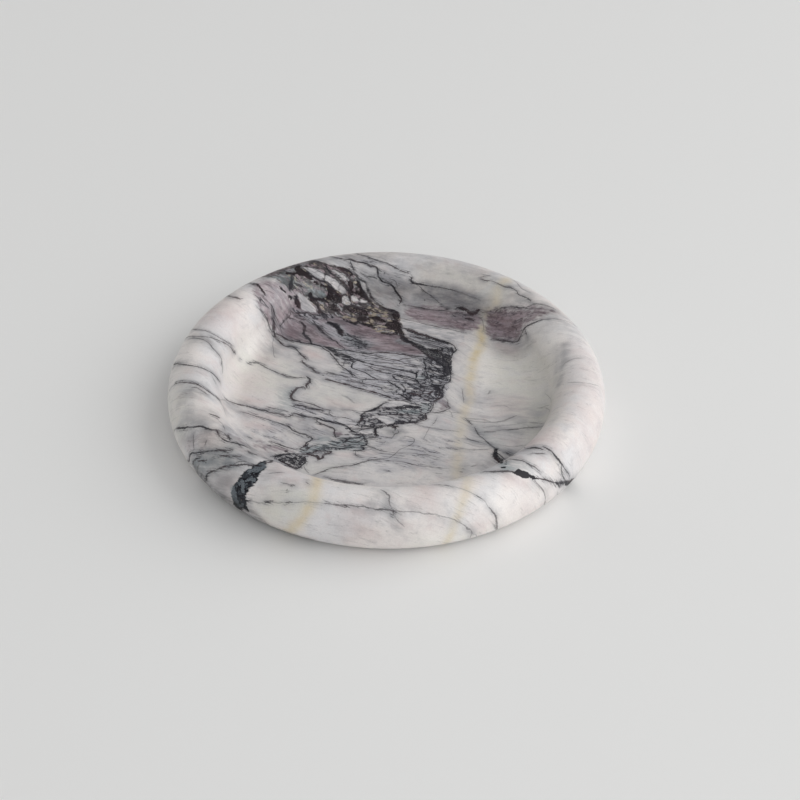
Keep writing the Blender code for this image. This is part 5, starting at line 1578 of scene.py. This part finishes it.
class Marble(Nodes):
    """White marble with clouds, veins and breccia, laid on colour by colour and honed to a soft sheen."""

    def __init__(self, layer_count):
        super().__init__("veined_marble")
        flow = self.add("ShaderNodeAttribute", attribute_name="flow").outputs["Vector"]
        soft = self.bent(flow, 2.6, 7.0)
        rough = self.bent(soft, 0.8, 1.8, (3, 1, 2))
        self.places = {"soft": soft, "rough": rough, "broken": self.bent(rough, 1.2, 0.9, (1, 6, 3)),
                       "calm": self.bent(self.bent(flow, 1.3, 7.0, (7, 7, 0)), 0.7, 1.4, (2, 8, 2))}
        self.mask = {name: self.number(name) for name in MASKS}
        self.halo = self.number("halo")
        self.texture = {name: self.noise((size,) * 3, *spec) for name, (size, *spec) in NOISES.items()}
        self.texture.update({name: self.streaks(*spec) for name, spec in STREAKS.items()})
        self.lay_ground()
        self.lay_mauve()
        self.lay_grey()
        self.lay_breccia()
        self.lay_dark()
        self.lay_chips()
        hair = self.lay_hairlines()
        ink = self.lay_veins(layer_count)
        self.polish(hair, ink)

    def bent(self, place, reach, length, start=(0, 0, 0)):
        """A place in the veins' flow, shaken by a noise."""
        inputs = {"Vector": self.stretched((length,) * 3, 0.0, start), "Scale": 1.0, "Detail": 3.0}
        shake = self.add("ShaderNodeTexNoise", inputs).outputs["Color"]
        shake = self.vector("SUBTRACT", shake, (0.5, 0.5, 0.5))
        return self.vector("MULTIPLY_ADD", shake, (reach, reach, 0), place)

    def along(self, place_name, lengths, start):
        """A place in the flow, measured in two lengths in millimetres, along and across."""
        inputs = {"Vector": self.places[place_name], "Location": start, "Scale": (*lengths, 1)}
        return self.add("ShaderNodeMapping", inputs, vector_type="TEXTURE").outputs["Vector"]

    def streaks(self, place_name, lengths, detail, rough, start):
        """A noise drawn out along the flow."""
        inputs = {"Vector": self.along(place_name, lengths, start), "Scale": 1.0}
        inputs.update({"Detail": detail, "Roughness": rough})
        return self.add("ShaderNodeTexNoise", inputs, noise_dimensions="2D").outputs["Fac"]

    def cells(self, place_name, lengths, feature, start):
        """Random cells, drawn out along the flow."""
        inputs = {"Vector": self.along(place_name, lengths, start), "Scale": 1.0}
        return self.add("ShaderNodeTexVoronoi", inputs, feature=feature, voronoi_dimensions="2D").outputs

    def seams(self, place_name, lengths, start, swing, low, high):
        """Ragged lines between cells."""
        distance = self.cells(place_name, lengths, "DISTANCE_TO_EDGE", start)["Distance"]
        return self.ramp(self.swung(distance, self.texture["swell"], swing), low, high)

    def number(self, name):
        """A number that the mesh carries for each corner."""
        return self.add("ShaderNodeAttribute", attribute_name=name).outputs["Fac"]

    def cut(self, name, low, high, swing):
        """A mask whose edge is broken up along the flow."""
        return self.ramp(self.swung(self.mask[name], self.texture["edge"], swing), low, high)

    def lay(self, share, tone):
        """Lays a share of a tone over the colour so far."""
        self.colour = self.mix(share, self.colour, tone)

    def lay_ground(self):
        """Whites, clouds and the soft areas of the ground, among them painted light and painted shade, then
        streaks along the flow.
        """
        mask, texture = self.mask, self.texture
        rim_tone = self.mix(self.ramp(texture["patch"], 0.4, 0.6), WARM_WHITE, COOL_WHITE)
        dish_tone = self.mix(self.ramp(texture["slow"], 0.35, 0.65), DISH_WHITE, DISH_GREY)
        self.colour = self.mix(self.ramp(mask["dish"], 0.1, 0.9, 0.0, 0.75), rim_tone, dish_tone)
        self.lay(self.ramp(texture["mottle"], 0.5, 0.7, 0.0, 0.3), PINK)
        self.lay(self.ramp(texture["mottle"], 0.48, 0.3, 0.0, 0.35), CLOUD_GREY)
        in_dish = self.ramp(mask["dish"], 0.0, 1.0, 0.3, 1.0)
        self.lay(self.times(self.ramp(texture["cloud"], 0.48, 0.76, 0.0, 0.5), in_dish), CLOUD_GREY)
        for name, noise_name, low, high, least, most, tone in GROUND_PATCHES:
            self.lay(self.times(mask[name], self.ramp(texture[noise_name], low, high, least, most)), tone)
        drawn_out = self.ramp(self.most(mask["dish"], mask["bundle"]), 0.2, 1.0, 0.12, 1.0)
        drawn_out = self.times(drawn_out, self.ramp(mask["cream"], 0.2, 0.9, 1.0, 0.25))
        self.lay(self.times(self.ramp(texture["wisp"], 0.34, 0.2), drawn_out, 0.6), ROSE)
        self.lay(self.times(self.ramp(texture["wisp"], 0.52, 0.76), drawn_out, 0.38), STREAK_GREY)

    def lay_mauve(self):
        """The mauve rock, and a grey veil beside the veins."""
        mask, texture = self.mask, self.texture
        self.mauve = self.cut("mauve", 0.2, 0.85, 1.2)
        tone = self.mix(self.ramp(texture["cloud"], 0.36, 0.66), MAUVE, MAUVE_DEEP)
        tone = self.mix(self.ramp(texture["wisp"], 0.56, 0.34, 0.0, 0.6), tone, MAUVE_PALE)
        tone = self.mix(self.ramp(texture["wisp"], 0.52, 0.72, 0.0, 0.7), tone, MAUVE_DEEP)
        rosy = self.times(mask["rose"], self.ramp(texture["wisp"], 0.6, 0.38, 0.25, 0.85))
        tone = self.mix(rosy, tone, ROSE)
        tone = self.mix(self.ramp(texture["blotch"], 0.5, 0.66, 0.0, 0.6), tone, MAUVE_DEEP)
        tone = self.mix(self.times(mask["rose"], 0.3), tone, ROSE)
        self.lay(self.times(self.mauve, 0.94), tone)
        self.lay(self.times(self.halo, self.ramp(texture["cloud"], 0.35, 0.65, 0.2, 0.6)), HAZE_AND_SHADE_GREY)

    def lay_grey(self):
        """The ground of the bundles and nets of fine lines, and the teal spots."""
        mask, texture = self.mask, self.texture
        self.bundle = self.ramp(self.swung(mask["bundle"], texture["cloud"], 1.0), 0.1, 0.9)
        self.bundle = self.times(self.bundle, self.ramp(mask["pale"], 0.5, 0.2))
        self.net = self.cut("net", 0.3, 0.75, 1.2)
        self.lay(self.times(self.bundle, self.ramp(texture["wisp"], 0.35, 0.6, 0.55, 0.95)), BUNDLE_GREY)
        self.lay(self.times(self.net, self.ramp(texture["edge"], 0.35, 0.6, 0.95, 0.5)), NET_GREY)
        self.lay(self.times(mask["teal"], self.ramp(texture["edge"], 0.3, 0.6, 0.4, 1.0)), TEAL_GREY)

    def lay_breccia(self):
        """Broken brown rock: small chips of several colours with dark cracks between them."""
        mask, texture = self.mask, self.texture
        self.breccia = self.cut("breccia", 0.35, 0.65, 1.3)
        brown = self.cut("brown", 0.35, 0.65, 1.3)
        chip = self.cells("broken", (3.6, 1.6), "F1", (3, 1, 0))["Color"]
        chip = self.add("ShaderNodeSeparateColor", {0: chip}).outputs[0]
        chip = self.times(chip, self.ramp(brown, 0.0, 1.0, 1.0, 0.5))
        tone = BROWN_BLACK
        for low, high, chip_tone in CHIP_TONES:
            tone = self.mix(self.ramp(chip, low, high), tone, chip_tone)
        tone = self.mix(self.ramp(texture["wisp"], 0.54, 0.62, 0.0, 0.7), tone, MAUVE)
        tone = self.mix(self.ramp(texture["speck"], 0.6, 0.72, 0.0, 0.5), tone, FLECK)
        tone = self.mix(self.ramp(texture["speck"], 0.5, 0.36, 0.0, 0.85), tone, BROWN_BLACK)
        teal = self.times(mask["teal"], self.ramp(texture["wisp"], 0.6, 0.4, 0.35, 0.95))
        tone = self.mix(teal, tone, TEAL_GREY)
        self.lay(self.most(self.times(self.breccia, 0.9), brown), tone)
        self.cracks = self.times(self.seams("broken", (5.5, 2.3), (3, 3, 0), -0.8, 0.13, 0.05), self.breccia)
        self.lay(self.times(self.cracks, self.ramp(mask["teal"], 0.2, 0.7, 0.85, 0.25)), BROWN_BLACK)

    def lay_dark(self):
        """Black seams, and the dark blue spots with paler hollows."""
        mask, texture = self.mask, self.texture
        black = self.swung(self.swung(mask["black"], texture["edge"], 0.4), texture["swell"], 1.7)
        speckled = self.ramp(texture["speck"], 0.62, 0.46, 0.55, 1.0)
        self.black = self.times(self.ramp(black, 0.47, 0.6),
                                self.most(speckled, self.ramp(mask["dish"], 0.6, 0.3)))
        in_brown = self.ramp(self.most(mask["breccia"], mask["mauve"]), 0.2, 0.8)
        self.lay(self.times(self.black, 0.96), self.mix(in_brown, BLUE_BLACK, BROWN_BLACK))
        self.dark = self.cut("dark", 0.35, 0.65, 1.3)
        pits = self.times(self.ramp(texture["pits"], 0.56, 0.66), self.ramp(mask["dark"], 0.6, 0.95))
        hollows = self.most(pits, self.cut("teal", 0.3, 0.5, 1.2))
        tone = self.mix(self.ramp(texture["swell"], 0.44, 0.58), BLUE_BLACK, DARK_TEAL)
        tone = self.mix(hollows, tone, BLUE_GREY)
        tone = self.mix(self.ramp(texture["speck"], 0.5, 0.3, 0.0, 0.7), tone, BLUE_BLACK)
        self.lay(self.dark, tone)

    def lay_chips(self):
        """The large pale chips, thinly cracked, and the yellowish flecks."""
        texture = self.texture
        tone = self.mix(self.ramp(texture["cloud"], 0.35, 0.65), PALE, CLOUD_GREY)
        tone = self.mix(self.ramp(texture["wisp"], 0.5, 0.68, 0.0, 0.6), tone, HAZE_AND_SHADE_GREY)
        chipped = self.swung(self.swung(self.mask["pale"], texture["edge"], 0.7), texture["swell"], 0.7)
        chipped = self.ramp(chipped, 0.33, 0.6)
        self.lay(chipped, tone)
        self.lay(self.times(self.cracks, chipped, 0.35), BROWN_BLACK)
        flecks = self.ramp(texture["swell"], 0.6, 0.44, 0.1, 0.72)
        self.lay(self.times(self.cut("fleck", 0.4, 0.7, 1.8), flecks), FLECK)

    def lay_hairlines(self):
        """Fine lines along the flow, closest where the rock is a bundle or a net, and returns them."""
        mask, texture = self.mask, self.texture
        near_vein = self.ramp(self.halo, 0.1, 0.9, 0.0, 0.6)
        crowd = self.most(self.net, self.bundle, self.times(self.mauve, 0.45), near_vein, 0.14)
        crowd = self.times(crowd, self.ramp(mask["pale"], 0.3, 0.8, 1.0, 0.25))
        gaps = self.ramp(self.math("MULTIPLY_ADD", crowd, 0.3, texture["gaps"]), 0.5, 0.62)
        hair = 0.0
        for lengths, start, half, few, many in HAIRLINES:
            away = self.streaks("calm", lengths, 3.0, 0.5, start)
            line = self.ramp(self.math("ABSOLUTE", self.math("SUBTRACT", away, 0.5)), half, 0.0)
            hair = self.most(hair, self.times(line, self.ramp(crowd, few, many)))
        hair = self.times(hair, gaps, self.ramp(crowd, 0.0, 0.7, 0.12, 1.0))
        net_line = self.times(self.seams("calm", (17, 3.7), (2, 5, 0), -0.3, 0.11, 0.05),
                              self.ramp(texture["edge"], 0.38, 0.48, 0.15, 1.0))
        net_line = self.times(net_line, self.most(self.net, self.times(self.bundle, 0.4)))
        crackle = self.times(self.seams("broken", (6.0, 2.7), (8, 1, 0), -0.75, 0.17, 0.09),
                             self.ramp(self.net, 0.35, 0.8))
        open_ground = self.times(self.ramp(mask["pale"], 0.3, 0.8, 1.0, 0.0),
                                 self.ramp(mask["teal"], 0.7, 1.0, 1.0, 0.4))
        hair = self.most(hair, self.times(self.most(net_line, crackle), open_ground))
        self.lay(self.times(hair, self.ramp(texture["ragged"], 0.32, 0.55, 0.5, 1.0)), HAIRLINE)
        return hair

    def lay_veins(self, layer_count):
        """The drawn veins with ragged sides and a spray of specks beside them, and returns the veins."""
        texture = self.texture
        ink = 0.0
        for number in range(layer_count):
            vein = self.add("ShaderNodeAttribute", attribute_name=f"veins_{number}")
            across = self.add("ShaderNodeVectorMath", {0: vein.outputs["Vector"]}, operation="LENGTH")
            line = self.ramp(self.swung(across.outputs["Value"], texture["ragged"], 2.6), 1.5, 0.7)
            ink = self.most(ink, self.times(line, vein.outputs["Alpha"]))
        ink = self.times(ink, self.ramp(texture["breaks"], 0.3, 0.52, 0.62, 1.0))
        spray = self.times(self.ramp(self.halo, 0.45, 0.95), self.ramp(texture["speck"], 0.52, 0.66), 0.6)
        self.lay(self.most(ink, spray), self.mix(self.ramp(texture["slow"], 0.45, 0.62), INK, INK_BROWN))
        return ink

    def polish(self, hair, ink):
        """Grain over the whole and the shade mask's darkening, partly darker stone and partly painted shade,
        then the sheen and a faint relief.
        """
        texture = self.texture
        grained = self.math("MULTIPLY_ADD", texture["grain"], 0.24, 0.88)
        # The shade mask darkens the colour: partly darker stone, partly painted shade
        shade = self.times(self.mask["shade"], self.ramp(texture["wisp"], 0.35, 0.65, 0.7, 1.3), 0.5)
        grained = self.times(grained, self.math("SUBTRACT", 1.0, shade))
        tint = self.add("ShaderNodeCombineColor", {0: grained, 1: grained, 2: grained}).outputs[0]
        self.put(self.shader.inputs["Base Color"], self.mix(1.0, self.colour, tint, "MULTIPLY"))
        self.put(self.shader.inputs["Roughness"], self.ramp(texture["cloud"], 0.3, 0.7, *STONE_ROUGHNESS))
        darkest = self.most(ink, self.black, self.dark, hair)
        self.put(self.shader.inputs["Specular IOR Level"], self.ramp(darkest, 0.2, 1.0, *STONE_SHINE))
        self.bump(0.25, 0.00006, self.math("MULTIPLY_ADD", ink, -0.25, texture["grain"]))


def felt():
    """Pressed felt: short fibres in two tones, with no shine."""
    n = Nodes("felt")
    fibres = n.noise((*FIBRE_SIZES, 0.5), 4.0, 0.7, warp=1.6)
    crossing = n.noise((*FIBRE_SIZES[::-1], 0.5), 4.0, 0.7, (0.2, 0.5, 0), math.radians(35), 1.6)
    blend = n.times(n.math("ADD", fibres, crossing), 0.5)
    n.put(n.shader.inputs["Base Color"], n.mix(n.ramp(blend, 0.38, 0.62), FELT_DARK, FELT_LIGHT))
    n.put(n.shader.inputs["Roughness"], FELT_ROUGHNESS)
    n.put(n.shader.inputs["Sheen Weight"], FELT_SHEEN)
    n.bump(0.8, 0.0003, blend)
    return n.material


def floor_piece():
    """A plain pale floor under the tray."""
    half = FLOOR_SIZE / 2
    mesh = bpy.data.meshes.new("floor")
    corners = [(-half, -half, 0), (half, -half, 0), (half, half, 0), (-half, half, 0)]
    mesh.from_pydata(corners, [], [(0, 1, 2, 3)])
    floor = bpy.data.objects.new("floor", mesh)
    bpy.context.scene.collection.objects.link(floor)
    n = Nodes("studio_floor")
    n.put(n.shader.inputs["Base Color"], linear(FLOOR_TONE))
    n.put(n.shader.inputs["Roughness"], FLOOR_ROUGHNESS)
    n.put(n.shader.inputs["Specular IOR Level"], FLOOR_SHINE)
    mesh.materials.append(n.material)
    return floor


def light_scene():
    """A surrounding light that grows towards one side, and large soft lamps that aim at the tray's foot."""
    world = bpy.data.worlds.new("studio")
    world.use_nodes = True
    surround = world.node_tree.nodes["Background"]
    surround.inputs["Color"].default_value = (1, 1, 1, 1)
    tree = world.node_tree
    towards = tree.nodes.new("ShaderNodeVectorMath")
    towards.operation = "DOT_PRODUCT"
    towards.inputs[1].default_value = Vector(WORLD_TOWARDS).normalized()
    tilt = tree.nodes.new("ShaderNodeMath")
    tilt.operation = "MULTIPLY_ADD"
    tilt.inputs[1].default_value = WORLD_TILT
    tilt.inputs[2].default_value = WORLD_STRENGTH
    tree.links.new(tree.nodes.new("ShaderNodeTexCoord").outputs["Generated"], towards.inputs[0])
    tree.links.new(towards.outputs["Value"], tilt.inputs[0])
    tree.links.new(tilt.outputs[0], surround.inputs["Strength"])
    bpy.context.scene.world = world
    for name, place, size, power in LAMPS:
        lamp = bpy.data.lights.new(name, "AREA")
        lamp.shape = "SQUARE"
        lamp.size = size
        lamp.energy = power
        thing = bpy.data.objects.new(name, lamp)
        thing.location = place
        thing.rotation_euler = (-Vector(place)).to_track_quat("-Z", "Y").to_euler()
        bpy.context.scene.collection.objects.link(thing)


def set_camera():
    """The camera looks along the y axis, dips towards the tray and rolls a little."""
    lens = bpy.data.cameras.new("camera")
    lens.lens = CAMERA_LENS
    lens.sensor_width = CAMERA_SENSOR
    lens.sensor_fit = "AUTO"
    camera = bpy.data.objects.new("camera", lens)
    bpy.context.scene.collection.objects.link(camera)
    forward = Vector((0, math.cos(CAMERA_DIP), -math.sin(CAMERA_DIP)))
    level = Vector((1, 0, 0))
    upright = level.cross(forward)
    right = level * math.cos(CAMERA_ROLL) + upright * math.sin(CAMERA_ROLL)
    up = upright * math.cos(CAMERA_ROLL) - level * math.sin(CAMERA_ROLL)
    turn = Matrix((right, up, -forward)).transposed()
    camera.matrix_world = Matrix.Translation(CAMERA_PLACE) @ turn.to_4x4()
    bpy.context.scene.camera = camera


stone = stone_piece()
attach(stone, "root")
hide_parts("stone_tray")

felt_material = felt()
for pad_number in range(1, PAD_COUNT + 1):
    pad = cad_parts[f"felt_pad_{pad_number}"]
    for pad_slot in pad.material_slots:
        pad_slot.material = felt_material

floor_piece()
light_scene()
set_camera()
bpy.context.scene.view_settings.view_transform = "Standard"
